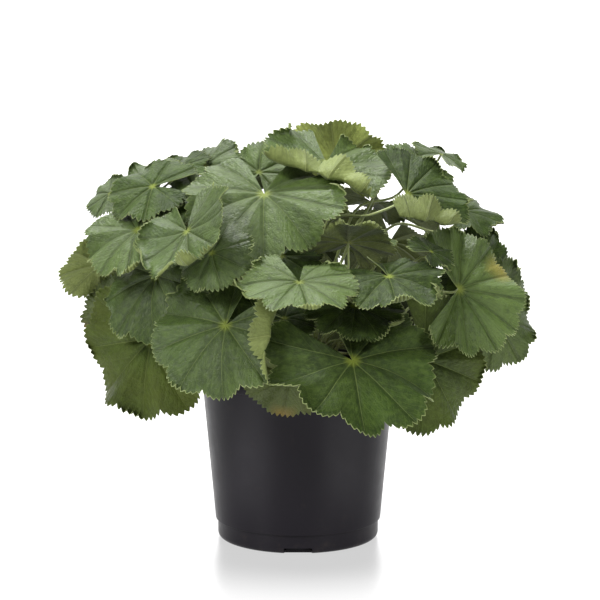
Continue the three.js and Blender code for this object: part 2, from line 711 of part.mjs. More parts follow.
function* archChoices(shape, seat, hub) {
  const { normal, tip, side } = leafAxes(shape);
  const start = new THREE.Vector3(seat[0], seat[1], SOIL_TOP + STALK_RISE);
  const end = hub.clone().addScaledVector(normal, -STALK_SINK);
  const span = end.distanceTo(start);
  const draw = seededDraw(DRAW_SEED);
  for (let attempt = 0; attempt < MOST_ARCHES; attempt += 1) {
    const freedom = Math.min(1, attempt / WIDE_FROM);
    const around = ([usual, scatter]) => usual + scatter * freedom * draw();
    const swing = radians(around([0, WIDEST_SWING]));
    const rise = around(ARCH_HEIGHT) * span;
    const slope = radians(around(ARRIVAL_SLOPE));
    const aside = radians(around([0, WIDEST_ASIDE]));
    const upright = start.clone().setZ(start.z + UPRIGHT * span);
    const middle = end.clone().sub(start).multiplyScalar(around(ARCH_MIDDLE));
    middle.applyAxisAngle(UP, swing).add(start);
    middle.z += rise;
    const level = tip.clone().multiplyScalar(Math.cos(aside)).addScaledVector(side, Math.sin(aside));
    const arrival = normal.clone().multiplyScalar(Math.cos(slope)).addScaledVector(level, Math.sin(slope));
    const run = APPROACH * span * around([1, APPROACH_SCATTER]);
    const approach = end.clone().addScaledVector(arrival, -run);
    yield new THREE.CatmullRomCurve3([start, upright, middle, approach, end]);
  }
}

function walk(path) {
  const corners = path.getSpacedPoints(STALK_STEPS);
  const places = [];
  for (let step = 1; step < corners.length; step += 1) {
    const pieces = Math.ceil(corners[step].distanceTo(corners[step - 1]) / WALK_STEP);
    for (let piece = 0; piece < pieces; piece += 1) {
      places.push(corners[step - 1].clone().lerp(corners[step], piece / pieces));
    }
  }
  places.push(corners[corners.length - 1]);
  return places;
}

function clearance(places, own, blades, stalks, enough) {
  let least = Infinity;
  const hub = places[places.length - 1];
  const nearest = new THREE.Vector3();
  for (const place of places) {
    const out = Math.hypot(place.x, place.y);
    if (place.z < SOIL_TOP + STALK_RISE) continue;
    if (out > CROWN_RADIUS) least = Math.min(least, place.z - POT_HEIGHT);
    for (const other of stalks) {
      for (const there of other) least = Math.min(least, place.distanceTo(there) - STALK_RADIUS);
    }
    const nearHub = place.distanceTo(hub) < OWN_HUB_ZONE;
    for (const blade of blades) {
      if (blade.order === own && nearHub) continue;
      if (blade.box.distanceToPoint(place) > least) continue;
      for (const triangle of blade.triangles) {
        triangle.closestPointToPoint(place, nearest);
        least = Math.min(least, nearest.distanceTo(place));
      }
    }
    if (least < enough) return least;
  }
  return least;
}

function growStalks(nets, seats) {
  const blades = nets.map((net, order) => ({
    order,
    box: new THREE.Box3().setFromPoints(net.points),
    triangles: net.triangles.map((corners) => new THREE.Triangle(...corners.map((k) => net.points[k]))),
  }));
  const inwardFirst = LEAVES.map((_, order) => order)
    .sort((a, b) => nets[a].points[0].distanceTo(DOME_CENTRE) - nets[b].points[0].distanceTo(DOME_CENTRE));
  const paths = [];
  const grown = [];
  for (const order of inwardFirst) {
    let best = { space: -Infinity };
    for (const arch of archChoices(LEAVES[order], seats[order], nets[order].points[0])) {
      const path = new StalkPath(seats[order], arch);
      const space = clearance(walk(path), order, blades, grown, best.space);
      if (space > best.space) best = { space, path };
      if (space >= STALK_SPACE) break;
    }
    paths[order] = best.path;
    best.path.space = best.space;
    grown.push(walk(best.path));
  }
  return paths;
}

// Assembly

const POT_FINISH = new THREE.MeshStandardMaterial({ color: '#29282c', roughness: 0.42, metalness: 0 });
const SOIL_FINISH = new THREE.MeshStandardMaterial({ color: '#35271b', roughness: 0.95, metalness: 0 });
const LEAF_GREENS = ['#5f7f50', '#6b8a58', '#547347', '#7a9566'];

function addPiece(group, name, solid, material) {
  const mesh = new THREE.Mesh(geometryOf(solid), material);
  mesh.name = name;
  group.add(mesh);
}

const seats = pickSeats();
const nets = settled(LEAVES.map(bladeNet));
const paths = growStalks(nets, seats);
const stalkTurns = LEAVES.map((shape, order) => sectionTurn(shape, paths[order]));
const plant = new THREE.Group();
addPiece(plant, 'pot', potSolid(), POT_FINISH);
addPiece(plant, 'soil', soilSolid(seats, stalkTurns), SOIL_FINISH);
LEAVES.forEach((shape, order) => {
  const green = LEAF_GREENS[order % LEAF_GREENS.length];
  const finish = new THREE.MeshStandardMaterial({ color: green, roughness: 0.6, metalness: 0 });
  addPiece(plant, shape.name, leafSolid(shape, nets[order], paths[order]), finish);
});

export default plant;
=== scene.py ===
"""A potted lady's mantle: a dome of pleated, toothed leaves on long stalks in a black nursery pot."""

import logging
import math
import random
from collections.abc import Callable
from dataclasses import dataclass, replace
from enum import Enum

import bpy
import numpy as np
from bpy.types import Material, Mesh, Node, NodeSocket as Socket, NodeTree, Object
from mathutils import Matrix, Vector
from mathutils.bvhtree import BVHTree


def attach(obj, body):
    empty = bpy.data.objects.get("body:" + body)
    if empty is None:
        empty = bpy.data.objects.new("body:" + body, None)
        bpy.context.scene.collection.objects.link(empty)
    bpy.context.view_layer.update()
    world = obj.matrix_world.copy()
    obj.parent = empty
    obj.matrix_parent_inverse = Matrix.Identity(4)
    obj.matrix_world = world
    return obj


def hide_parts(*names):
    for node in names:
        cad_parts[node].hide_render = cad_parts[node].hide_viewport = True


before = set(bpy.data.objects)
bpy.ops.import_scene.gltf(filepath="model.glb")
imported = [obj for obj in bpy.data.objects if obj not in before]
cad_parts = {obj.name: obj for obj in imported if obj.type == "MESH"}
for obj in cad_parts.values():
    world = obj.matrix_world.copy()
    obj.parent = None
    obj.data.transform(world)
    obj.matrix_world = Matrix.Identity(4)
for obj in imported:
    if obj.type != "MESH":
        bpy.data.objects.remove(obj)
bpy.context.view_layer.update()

logging.basicConfig(level=logging.INFO, format="%(message)s")
log = logging.getLogger("lady's mantle")

MM = 0.001
BODY = "root"

# Short names for types that come often
Colour = tuple[float, float, float, float]
Curl = tuple[float, float, float, float]
Profile = list[tuple[float, float]]

# The camera: where it stands, what it looks at, and its lens, in millimetres
CAMERA_AT = (1.4, -1900.0, 487.0)
CAMERA_AIM = (1.4, 0.0, 172.0)
CAMERA_LENS = 161.8
CAMERA_SENSOR = 36.0

# What the solids and the fine leaves share, with lengths in millimetres
DOME_CENTRE = np.array([0.0, 0.0, 143.0])
CROWN_RADIUS = 34.0
SOIL_TOP = 115.5
ROOT_DEPTH = 12.0
STALK_RINGS = 8
BASAL_SHRINK = 0.12
LOBE_DEPTH = 0.14
LOBE_ROUNDNESS = 2.4
PLEAT = 0.035
HUB_DIMPLE = 0.03
DIMPLE_WIDTH = 0.22
RUFFLE_POWER = 2.2
POINTS_PER_LOBE = 4

# What only the fine leaves and the fine pot have, in millimetres, degrees and shares of a leaf's radius
TEETH = 9
TOOTH_DEPTH = 2.8
TOOTH_LEAN = 0.4
TOOTH_REACH = 12
TOOTH_CURVE = 1.25
CLEFT_POWER = 4
FOLD_FROM = 120
FOLD_TURN = 172
FOLD_RADIUS = 2.6
FOLD_SHARE = 1.1
GROOVE_DEPTH = 0.3
GROOVE_WIDTH = 1.0
FINE_PLEAT = -0.013
SMALL_LEAF = 36
RING_CROWDING = 1.45
LEAST_MOVE = 0.05
EASED_OVER = (1, 5)
STALK_POINTS = 34
STALK_CORNERS = 4
SAME_RAY = 3e-4
BLADE_ANGLE = 50
POT_ANGLE = 35
MARGIN_WAVES = ((4, 0.045), (7, 0.045), (12, 0.022))
WAVE_POWER = 2.6
CUP = 0.06
BLADE = 0.45
BLADE_CLEAR = 0.4
FREE_ROOM = 12.0
STALK_RADIUS = 1.15
STALK_TAPER = ((0.0, 1.25), (0.08, 1.0), (0.5, 0.9), (1.0, 0.85 / STALK_RADIUS))

# Leaves darker than this tone have a matt upper side, with this specular level
MATT_BELOW = 0.22
MATT_GLOSS = 0.16

# The seeds of the draws, and the ranges that they fall in
LEAF_SEED = 11
CRUMB_SEED = 5
TONES = (0.15, 0.75)
LOBE_LENGTHS = (-0.035, 0.03)
TOOTH_SIZES = (0.7, 1.25)
PLEATS = (0.2, 1.2)
CLEFTS = (-0.02, 0.02)
LIVELINESS = (0.7, 1.3)
ROLLS = 3
ROLL_TURNS = (150, 110, -70, 190)
ROLL_WIDTHS = (9, 24)
ROLL_STARTS = (0.86, 0.94)
CRUMB_SIZES = (0.5, 1.7)


def select_only(*things: Object) -> None:
    """Selects these objects and nothing else, and makes the first one active.

    Args:
        things: The objects.
    """
    bpy.ops.object.select_all(action="DESELECT")
    for thing in things:
        thing.select_set(True)
    bpy.context.view_layer.objects.active = things[0]


def renamed(name: str) -> Object:
    """Names the active object and its mesh or curve.

    Args:
        name: The new name.

    Returns:
        The active object.
    """
    thing = bpy.context.active_object
    thing.name = name
    thing.data.name = name
    return thing


def begun(name: str, adder: Callable, **settings: object) -> Object:
    """Adds a new object by one of the operators that add a primitive.

    Args:
        name: The object's name.
        adder: The operator.
        settings: What the operator is told.

    Returns:
        The new object.
    """
    bpy.ops.object.select_all(action="DESELECT")
    adder(**settings)
    return renamed(name)


def joined(name: str, *things: Object) -> Object:
    """Joins objects to one.

    Args:
        name: The name of the result.
        things: The objects.

    Returns:
        The joined object.
    """
    select_only(*things)
    bpy.ops.object.join()
    return renamed(name)


def modify(thing: Object, kind: str, **settings: object) -> None:
    """Changes an object's mesh by a modifier, which is applied at once.

    Args:
        thing: The object.
        kind: The modifier's type.
        settings: The modifier's properties.
    """
    modifier = thing.modifiers.new(kind.lower(), kind)
    for name, value in settings.items():
        setattr(modifier, name, value)
    select_only(thing)
    bpy.ops.object.modifier_apply(modifier=modifier.name)


def apply_place(thing: Object) -> None:
    """Moves an object's place, turn and size into its mesh."""
    select_only(thing)
    bpy.ops.object.transform_apply(location=True, rotation=True, scale=True)


def seat(thing: Object, slot: str, *nodes: str) -> None:
    """Fastens a finished piece to the frame.

    Args:
        thing: The piece, at the origin, with its place in its mesh.
        slot: The name of the piece's material slot; not used.
        nodes: The CAD nodes that it stands for.
    """
    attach(thing, BODY)
    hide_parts(*nodes)


class Nodes:
    """A node tree, with short calls for the nodes that the finishes and the room use."""

    def __init__(self, tree: NodeTree) -> None:
        """Takes a tree over and empties it."""
        self.tree = tree
        tree.nodes.clear()

    def feed(self, socket: Socket, value: object) -> None:
        """Links an output to an input, or sets the input to a constant.

        Args:
            socket: The input.
            value: An output socket or a constant.
        """
        if isinstance(value, Socket):
            self.tree.links.new(value, socket)
        else:
            socket.default_value = value

    def add(self, kind: str, sources: dict, **settings: object) -> Node:
        """Adds a node.

        Args:
            kind: The node's type name, without the word that all of them start with.
            sources: Socket name or number to a constant or an output socket.
            settings: The node's own properties.

        Returns:
            The new node.
        """
        node = self.tree.nodes.new(f"ShaderNode{kind}")
        for name, value in settings.items():
            setattr(node, name, value)
        for socket, value in sources.items():
            self.feed(node.inputs[socket], value)
        return node

    def math(self, operation: str, a: object, b: object = 0.0, clamp: bool = False) -> Socket:
        """Returns the output of a Math node on two values."""
        return self.add("Math", {0: a, 1: b}, operation=operation, use_clamp=clamp).outputs[0]

    def plus(self, a: object, b: object, clamp: bool = False) -> Socket:
        """Returns a + b."""
        return self.math("ADD", a, b, clamp)

    def minus(self, a: object, b: object, clamp: bool = False) -> Socket:
        """Returns a - b."""
        return self.math("SUBTRACT", a, b, clamp)

    def times(self, a: object, b: object) -> Socket:
        """Returns a times b."""
        return self.math("MULTIPLY", a, b)

    def total(self, *parts: tuple[object, float]) -> Socket:
        """Adds values up, each times its factor.

        Args:
            parts: Each value with its factor.

        Returns:
            The sum.
        """
        result = self.times(*parts[0])
        for value, factor in parts[1:]:
            result = self.plus(result, self.times(value, factor))
        return result

    def remap(self, value: object, low: float, high: float, start: float = 0.0, end: float = 1.0,
              smooth: bool = True) -> Socket:
        """Maps a value from one span to another and clamps it.

        Args:
            value: What is mapped.
            low: Where the first span starts; it may lie above high.
            high: Where the first span ends.
            start: The result at low.
            end: The result at high.
            smooth: Whether the way between is a smooth step or straight.

        Returns:
            The mapped value.
        """
        kind = "SMOOTHSTEP" if smooth else "LINEAR"
        sources = {"Value": value, "From Min": low, "From Max": high, "To Min": start, "To Max": end}
        return self.add("MapRange", sources, interpolation_type=kind).outputs[0]

    def mix(self, factor: object, a: object, b: object) -> Socket:
        """Returns the colour between a and b."""
        return self.add("Mix", {0: factor, 6: a, 7: b}, data_type="RGBA").outputs[2]

    def layers(self, colour: object, *layers: tuple[object, object]) -> Socket:
        """Lays colours over a first one.

        Args:
            colour: The first colour.
            layers: In order, how far each one covers and its colour.

        Returns:
            The last colour.
        """
        for share, over in layers:
            colour = self.mix(share, colour, over)
        return colour

    def place(self) -> Socket:
        """Returns Object coordinates."""
        return self.add("TexCoord", {}).outputs["Object"]

    def parts(self, vector: Socket) -> bpy.types.bpy_prop_collection:
        """Returns the three parts of a vector."""
        return self.add("SeparateXYZ", {0: vector}).outputs

    def stretched(self, vector: object, scale: tuple[float, float, float]) -> Socket:
        """Returns a vector with its three parts scaled."""
        return self.add("Mapping", {"Vector": vector, "Scale": scale}).outputs[0]

    def vector(self, operation: str, a: object, b: object = (0.0, 0.0, 0.0)) -> Socket:
        """Returns the output of a Vector Math node: a vector, or else a length or product."""
        outputs = self.add("VectorMath", {0: a, 1: b}, operation=operation).outputs
        return outputs["Value" if operation in ("LENGTH", "DOT_PRODUCT") else "Vector"]

    def noise(self, vector: object, scale: float, detail: float = 3.0, roughness: float = 0.5) -> Socket:
        """Returns a noise value, 0 to 1."""
        sources = {"Vector": vector, "Scale": scale, "Detail": detail, "Roughness": roughness}
        return self.add("TexNoise", sources).outputs[0]

    def facing(self, place: Socket) -> Socket:
        """Tells how far a surface faces out of the dome of leaves.

        Args:
            place: The surface's own place.

        Returns:
            From -1, straight in, to 1, straight out.
        """
        centre = tuple(float(value) for value in DOME_CENTRE * MM)
        ray = self.vector("NORMALIZE", self.vector("SUBTRACT", place, centre))
        return self.vector("DOT_PRODUCT", ray, self.add("NewGeometry", {}).outputs["True Normal"])

    def attribute(self, name: str) -> Socket:
        """Returns the value of a mesh attribute."""
        return self.add("Attribute", {}, attribute_name=name).outputs["Fac"]


class Shader(Nodes):
    """A material's nodes, which end in a Principled shader."""

    def __init__(self, name: str) -> None:
        """Starts a material with a Principled shader alone.

        Args:
            name: The material's name.
        """
        self.material = bpy.data.materials.new(name)
        self.material.use_nodes = True
        super().__init__(self.material.node_tree)
        self.surface = self.add("BsdfPrincipled", {})
        self.add("OutputMaterial", {0: self.surface.outputs[0]})

    def bump(self, height: object, distance: float) -> None:
        """Raises the surface by height times distance, in metres."""
        node = self.add("Bump", {"Height": height, "Distance": distance, "Strength": 1.0})
        self.feed(self.surface.inputs["Normal"], node.outputs[0])

    def set(self, **values: object) -> None:
        """Sets sockets of the Principled shader: words joined by _ stand for its socket names."""
        for name, value in values.items():
            self.feed(self.surface.inputs[name.replace("_", " ")], value)


class BladeSide(Enum):
    """The two faces of a leaf and its cut edge."""

    UPPER = "upper"
    UNDER = "under"
    MARGIN = "margin"


@dataclass(frozen=True)
class BladeFinish:
    """One side of a leaf: veins that fan from the hub, side veins that leave them, and a fine net."""

    side: BladeSide
    deep: Colour
    light: Colour
    vein: Colour
    hub: Colour
    relief: float
    sheen: float
    roughness: float
    gloss: float = 0.4
    hair: Colour = (0.22, 0.28, 0.15, 1.0)
    rim: Colour = (0.24, 0.29, 0.10, 1.0)
    aged: Colour = (0.075, 0.088, 0.010, 1.0)
    fresh: Colour = (0.050, 0.100, 0.009, 1.0)
    # painted shade: the dark green that faces turned into the dome of leaves are darkened towards
    painted_shade_colour: Colour = (0.020, 0.028, 0.006, 1.0)
    # painted light: the pale colour of light shining through a leaf, for tones above 1
    painted_backlight: Colour = (0.46, 0.54, 0.13, 1.0)
    yellowed: Colour = (0.25, 0.23, 0.035, 1.0)
    browned: Colour = (0.16, 0.115, 0.016, 1.0)
    silk: Colour = (0.80, 0.90, 0.78, 1.0)
    # how strong the painted shade on inward faces is on dark leaves
    painted_inward_shade: float = 0.9
    side_veins: float = 11.0
    vein_slope: float = 1.13
    vein_width: tuple[float, float] = (0.017, 0.006)
    net_scale: float = 520.0

    def make(self) -> Material:
        """Makes the material.

        Returns:
            A material with the veins' colours and relief, with painted shade in the creases and on faces
            turned into the dome.
        """
        s = Shader(f"leaf_{self.side.value}_{'matt' if self.gloss == MATT_GLOSS else 'satin'}")
        uv = s.add("UVMap", {}, uv_map="lobes").outputs[0]
        place, tone = s.place(), s.attribute("tone")
        along, share = s.parts(uv)[:2]
        broad, fine = s.noise(place, 26.0), s.noise(place, 240.0, 4.0, 0.6)
        streaks = s.noise(s.stretched(uv, (26.0, 3.0, 1.0)), 1.0)
        hairs = s.noise(s.stretched(uv, (60.0, 3.0, 1.0)), 12.0, 2.0)
        cells = s.add("TexVoronoi", {"Vector": place, "Scale": self.net_scale}, feature="DISTANCE_TO_EDGE")
        net = s.remap(cells.outputs["Distance"], 0.0, 0.25)

        # The main vein of each lobe, the creases beside it, and the side veins that leave it; the creases
        # are sunk by the bump and also darkened as painted shade
        inside = s.math("FRACT", along)
        lateral = s.times(s.math("ABSOLUTE", s.minus(inside, 0.5)), share)
        width = s.remap(share, 0.0, 1.0, *self.vein_width, smooth=False)
        main = s.minus(1.0, s.math("DIVIDE", lateral, width), clamp=True)
        crease = s.times(s.remap(lateral, 0.075, 0.01), s.remap(broad, 0.35, 0.6, 0.3, 1.0))
        start = s.total((share, 1.0), (lateral, -self.vein_slope), (broad, 0.12))
        step = s.total((start, self.side_veins), (s.math("GREATER_THAN", inside, 0.5), 0.5))
        ripple = s.math("ABSOLUTE", s.minus(s.math("FRACT", step), 0.5))
        branch = s.times(s.remap(ripple, 0.0, 0.11, 1.0, 0.0), s.remap(start, 0.12, 0.26))

        shade = s.plus(s.times(tone, 0.9), s.remap(broad, 0.25, 0.75, -0.15, 0.25), clamp=True)
        if self.side is BladeSide.UPPER:
            patches = (s.remap(s.noise(place, 17.0, 2.0), 0.45, 0.72, 0.0, 0.5), self.fresh)
        else:
            # painted light: on the underside and margin a tone above 1 paints light shining through the
            # leaf
            patches = (s.remap(tone, 1.0, 2.0), self.painted_backlight)
        # the pale band at the margin: the hairy edge's own colour, and partly a painted rim highlight
        rim = s.times(s.remap(share, 0.978, 1.0), s.remap(broad, 0.35, 0.65, 0.3, 0.9))
        aged = s.times(s.attribute("olive"), s.remap(broad, 0.2, 0.8, 0.35, 1.0))
        # painted shade: faces that turn into the dome of leaves are darkened, less so on light leaves
        painted_inward_shade = s.times(s.remap(s.facing(place), 0.1, -0.5), s.remap(tone, 0.15, 0.45, self.painted_inward_shade, 0.0))
        colour = s.layers(
            s.mix(shade, self.deep, self.light), patches,
            (s.remap(fine, 0.4, 0.7, 0.0, 0.45), self.light),
            (s.remap(fine, 0.5, 0.3, 0.0, 0.5), self.deep),
            # painted shade: the creases beside the main veins are darkened
            (s.remap(streaks, 0.4, 0.7, 0.0, 0.45), self.deep), (s.times(crease, 0.5), self.deep),
            (s.remap(hairs, 0.5, 0.8, 0.0, 0.1), self.hair), (s.times(branch, 0.14), self.vein),
            (s.times(main, 0.8), self.vein), (s.remap(share, 0.13, 0.02, 0.0, 0.85), self.hub),
            (rim, self.rim), (aged, self.aged), (painted_inward_shade, self.painted_shade_colour),
            (s.attribute("yellow"), self.yellowed), (s.attribute("brown"), self.browned))

        quilt, puckers = s.remap(ripple, 0.0, 0.3), s.noise(place, 90.0)
        height = s.total((quilt, 0.16), (main, -0.5), (net, 0.2), (fine, 1.5), (puckers, 2.2),
                         (crease, -1.0), (streaks, 0.5))
        s.bump(s.times(height, math.copysign(1.0, self.relief)), abs(self.relief) * MM)
        s.set(Base_Color=colour, Roughness=self.roughness, Sheen_Weight=self.sheen, Sheen_Roughness=0.5,
              Sheen_Tint=self.silk, Specular_IOR_Level=self.gloss)
        return s.material


@dataclass(frozen=True)
class StalkFinish:
    """The stalks: pale green, hairy, and redder towards the crown."""

    colour: Colour = (0.30, 0.36, 0.12, 1.0)
    foot: Colour = (0.26, 0.17, 0.08, 1.0)
    hair: Colour = (0.6, 0.62, 0.45, 1.0)

    def make(self) -> Material:
        """Makes the material.

        Returns:
            A pale green material with a redder foot.
        """
        s = Shader("stalk")
        place = s.place()
        speckle = s.noise(place, 900.0)
        colour = s.layers(self.colour, (s.remap(s.parts(place)[2], 0.150, 0.112), self.foot),
                          (s.remap(speckle, 0.45, 0.8, 0.0, 0.4), self.hair))
        s.bump(speckle, 0.15 * MM)
        s.set(Base_Color=colour, Roughness=0.55, Sheen_Weight=0.5, Sheen_Roughness=0.4)
        return s.material


@dataclass(frozen=True)
class LeafFinishes:
    """A leaf's materials: a dark leaf has a matt upper side, any other a satin one."""

    satin: Material
    matt: Material
    under: Material
    margin: Material
    stalk: Material

    def blade(self, tone: float) -> list[Material]:
        """Returns the upper side, underside and margin for a leaf of this tone."""
        return [self.matt if tone < MATT_BELOW else self.satin, self.under, self.margin]


@dataclass(frozen=True)
class PlasticFinish:
    """The pot's thin black plastic: satin, faintly brushed upwards, scuffed, with a dusty foot."""

    colour: Colour = (0.0128, 0.0110, 0.0150, 1.0)
    dust: Colour = (0.035, 0.028, 0.026, 1.0)

    def make(self) -> Material:
        """Makes the material.

        Returns:
            A black satin material.
        """
        s = Shader("pot_plastic")
        place = s.place()
        mottle = s.noise(place, 90.0, 4.0, 0.6)
        streaks = s.noise(s.stretched(place, (1.0, 1.0, 0.06)), 420.0)
        grain = s.noise(place, 2200.0, 2.0)
        dusty = s.times(s.remap(s.parts(place)[2], 0.016, 0.0), s.remap(mottle, 0.45, 0.75, 0.0, 0.7))
        scuffed = s.remap(mottle, 0.55, 0.8, 0.0, 0.25)
        colour = s.layers(self.colour, (dusty, self.dust), (scuffed, self.dust))
        rough = s.total((s.remap(mottle, 0.3, 0.7, 0.29, 0.36), 1.0), (streaks, 0.06))
        s.bump(s.total((streaks, 0.5), (grain, 0.3)), 0.05 * MM)
        s.set(Base_Color=colour, Roughness=rough, Specular_IOR_Level=0.16)
        return s.material


@dataclass(frozen=True)
class CompostFinish:
    """Damp peat compost with lighter fibres and bark."""

    dark: Colour = (0.018, 0.011, 0.007, 1.0)
    bark: Colour = (0.085, 0.048, 0.026, 1.0)
    fibre: Colour = (0.16, 0.10, 0.055, 1.0)

    def make(self) -> Material:
        """Makes the material.

        Returns:
            A dark brown crumbly material.
        """
        s = Shader("compost")
        place = s.place()
        clod = s.noise(place, 180.0, 5.0, 0.65)
        fibre = s.noise(s.stretched(place, (1.0, 6.0, 3.0)), 300.0)
        colour = s.layers(self.dark, (s.remap(clod, 0.4, 0.7), self.bark),
                          (s.remap(fibre, 0.62, 0.75, 0.0, 0.6), self.fibre))
        s.bump(s.total((clod, 1.0), (fibre, 0.5)), 1.2 * MM)
        s.set(Base_Color=colour, Roughness=0.9, Specular_IOR_Level=0.25)
        return s.material


@dataclass(frozen=True)
class LeafShape:
    """One leaf, as its solid was drawn: millimetres and degrees.

    Attributes:
        hub: Where the veins meet.
        faces: The way the upper side looks: turn round the pot from the front, and tilt up.
        tip: The clock angle of the middle lobe for one who looks at the upper side.
        radius: Hub to tip.
        lobes: How many lobes there are.
        across: How far the sides droop.
        along: How far the tip and the base droop.
        ruffle: The height of the margin's waves; waves and phase are their number and start.
        notch: Half of the cut at the stalk.
        curls: Where the margin rolls up: middle, half width, turn, and the share where it starts.
        olive: How far the leaf has aged to olive, 0 to 1.
        tone: How light the leaf is, 0 to 1; above 1 its underside and margin get painted light, as if light
            shone through it; None for a drawn value.
        marks: Yellow or brown places: colour, lobe coordinate, share and width.
        cleft: How much deeper the cuts between the lobes are than the solid's.
    """

    name: str
    hub: tuple[float, float, float]
    faces: tuple[float, float]
    tip: float
    radius: float
    lobes: int = 9
    across: float = 15.0
    along: tuple[float, float] = (20.0, 0.0)
    ruffle: float = 0.05
    waves: int = 3
    phase: float = 0.0
    notch: float = 16.0
    curls: tuple[Curl, ...] = ()
    olive: float = 0.0
    tone: float | None = None
    marks: tuple[tuple[str, float, float, float], ...] = ()
    cleft: float = -0.03

    @property
    def node(self) -> str:
        """The CAD node's name."""
        return f"leaf_{self.name}"

    @property
    def half(self) -> float:
        """The angle from the middle lobe to the cut, in radians."""
        return math.pi - math.radians(self.notch)

    def axes(self) -> tuple[np.ndarray, np.ndarray, np.ndarray]:
        """Gives the leaf's own directions.

        Returns:
            The side, tip and normal directions.
        """
        normal = outward(*self.faces)
        turn, clock = math.radians(self.faces[0]), math.radians(self.tip)
        right = np.array([math.cos(turn), math.sin(turn), 0.0])
        tip = np.cross(normal, right) * math.cos(clock) + right * math.sin(clock)
        return np.cross(tip, normal), tip, normal

    def lobes_along(self, angle: np.ndarray) -> np.ndarray:
        """Returns how many lobes lie before each angle."""
        return (angle + self.half) * self.lobes / (2 * self.half)

    def lobe_position(self, angle: np.ndarray) -> np.ndarray:
        """Returns -1 to 1 across each lobe, 0 on its vein."""
        along = self.lobes_along(angle)
        return 2 * (along - np.floor(along + 1e-9)) - 1

    def margin_reach(self, angle: np.ndarray) -> np.ndarray:
        """Returns hub to margin, without teeth."""
        shrink = 1 - BASAL_SHRINK * np.abs(angle / math.pi) ** 3
        return self.radius * shrink * (1 - LOBE_DEPTH * np.abs(self.lobe_position(angle)) ** LOBE_ROUNDNESS)

    def rolled(self, angle: np.ndarray, share: np.ndarray, reach: np.ndarray,
               curls: tuple[Curl, ...]) -> tuple[np.ndarray, np.ndarray]:
        """Rolls stretches of the margin up or down.

        Args:
            angle: Angles from the middle lobe, clockwise, in radians.
            share: Shares of the way from the hub to the margin.
            reach: Hub to margin at each angle.
            curls: The stretches, as in the leaf's own curls.

        Returns:
            The distance from the hub and the height of each point.
        """
        distance, height = share * reach, np.zeros_like(share)
        free = np.ones(share.shape, bool)
        for middle, half_width, turn, start in curls:
            offset = np.abs(np.degrees(angle) - middle) / half_width
            strength = math.radians(turn) * np.cos(np.minimum(offset, 1) * math.pi / 2) ** 2
            here = free & (offset < 1) & (share > start) & (np.abs(strength) > 1e-3)
            bend = np.where(here, strength, 1.0) / ((1 - start) * reach)
            run = (share - start) * reach
            distance = np.where(here, start * reach + np.sin(bend * run) / bend, distance)
            height = np.where(here, (1 - np.cos(bend * run)) / bend, height)
            free &= ~here
        return distance, height

    def folded(self, x: np.ndarray, y: np.ndarray,
               height: np.ndarray) -> tuple[np.ndarray, np.ndarray, np.ndarray]:
        """Folds each widely curled stretch over along a straight crease.

        Args:
            x: How far each point lies to the side.
            y: How far it lies towards the tip.
            height: How high it lies.

        Returns:
            The same three after the folds.
        """
        for middle, _, turn, start in (curl for curl in self.curls if curl[2] >= FOLD_FROM):
            a, whole = math.radians(middle), math.radians(min(turn, FOLD_TURN))
            crease = start * FOLD_SHARE * self.radius
            beside, out = x * math.cos(a) - y * math.sin(a), x * math.sin(a) + y * math.cos(a)
            run = out - crease
            bend = np.clip(run / FOLD_RADIUS, 0, whole)
            flat = np.maximum(run - FOLD_RADIUS * whole, 0)
            past = crease + np.sin(bend) * (FOLD_RADIUS - height) + flat * np.cos(bend)
            lifted = FOLD_RADIUS * (1 - np.cos(bend)) + flat * np.sin(bend) + height * np.cos(bend)
            out, height = np.where(run > 0, past, out), np.where(run > 0, lifted, height)
            x, y = beside * math.cos(a) + out * math.sin(a), out * math.cos(a) - beside * math.sin(a)
        return x, y, height

    def surface(self, angle: np.ndarray, share: np.ndarray, growth: "Growth | None" = None,
                lively: bool = False) -> np.ndarray:
        """Returns points of the upper side.

        Args:
            angle: Angle from the middle lobe, clockwise, in radians.
            share: Share of the way from the hub to the margin.
            growth: What the fine leaf has beyond its solid, or None for the solid's own surface.
            lively: Whether the growth's waves, rolled stretches and straight folds are there too.

        Returns:
            The points, in millimetres, one row each.
        """
        reach = self.margin_reach(angle)
        position = self.lobe_position(angle)
        pleat = -PLEAT * share * np.cos(math.pi * position)
        wave = self.ruffle * share ** RUFFLE_POWER * np.sin(self.waves * angle + math.radians(self.phase))
        dimple = -HUB_DIMPLE * np.exp(-((share / DIMPLE_WIDTH) ** 2))
        height = self.radius * (pleat + wave + dimple)
        curls = self.curls
        if growth is not None:
            reach = reach * growth.outline(angle, share)
            off_vein = np.abs(position) * self.half / self.lobes * share * self.radius
            groove = GROOVE_DEPTH * np.exp(-((off_vein / GROOVE_WIDTH) ** 2))
            height = height - groove * np.minimum(4 * share, 1)
            if lively:
                height = height + self.radius * growth.waves(angle, share)
                curls = tuple(curl for curl in curls if curl[2] < FOLD_FROM) + growth.rolls
        distance, roll = self.rolled(angle, share, reach, curls)
        x, y, height = distance * np.sin(angle), distance * np.cos(angle), height + roll
        if lively:
            x, y, height = self.folded(x, y, height)
        x, lifted = bent(x, height, math.radians(self.across) / self.radius)
        droop = np.where(y > 0, self.along[0], self.along[1])
        y, z = bent(y, lifted, np.radians(droop) / self.radius)
        side, tip, normal = self.axes()
        return np.array(self.hub) + np.outer(x, side) + np.outer(y, tip) + np.outer(z, normal)


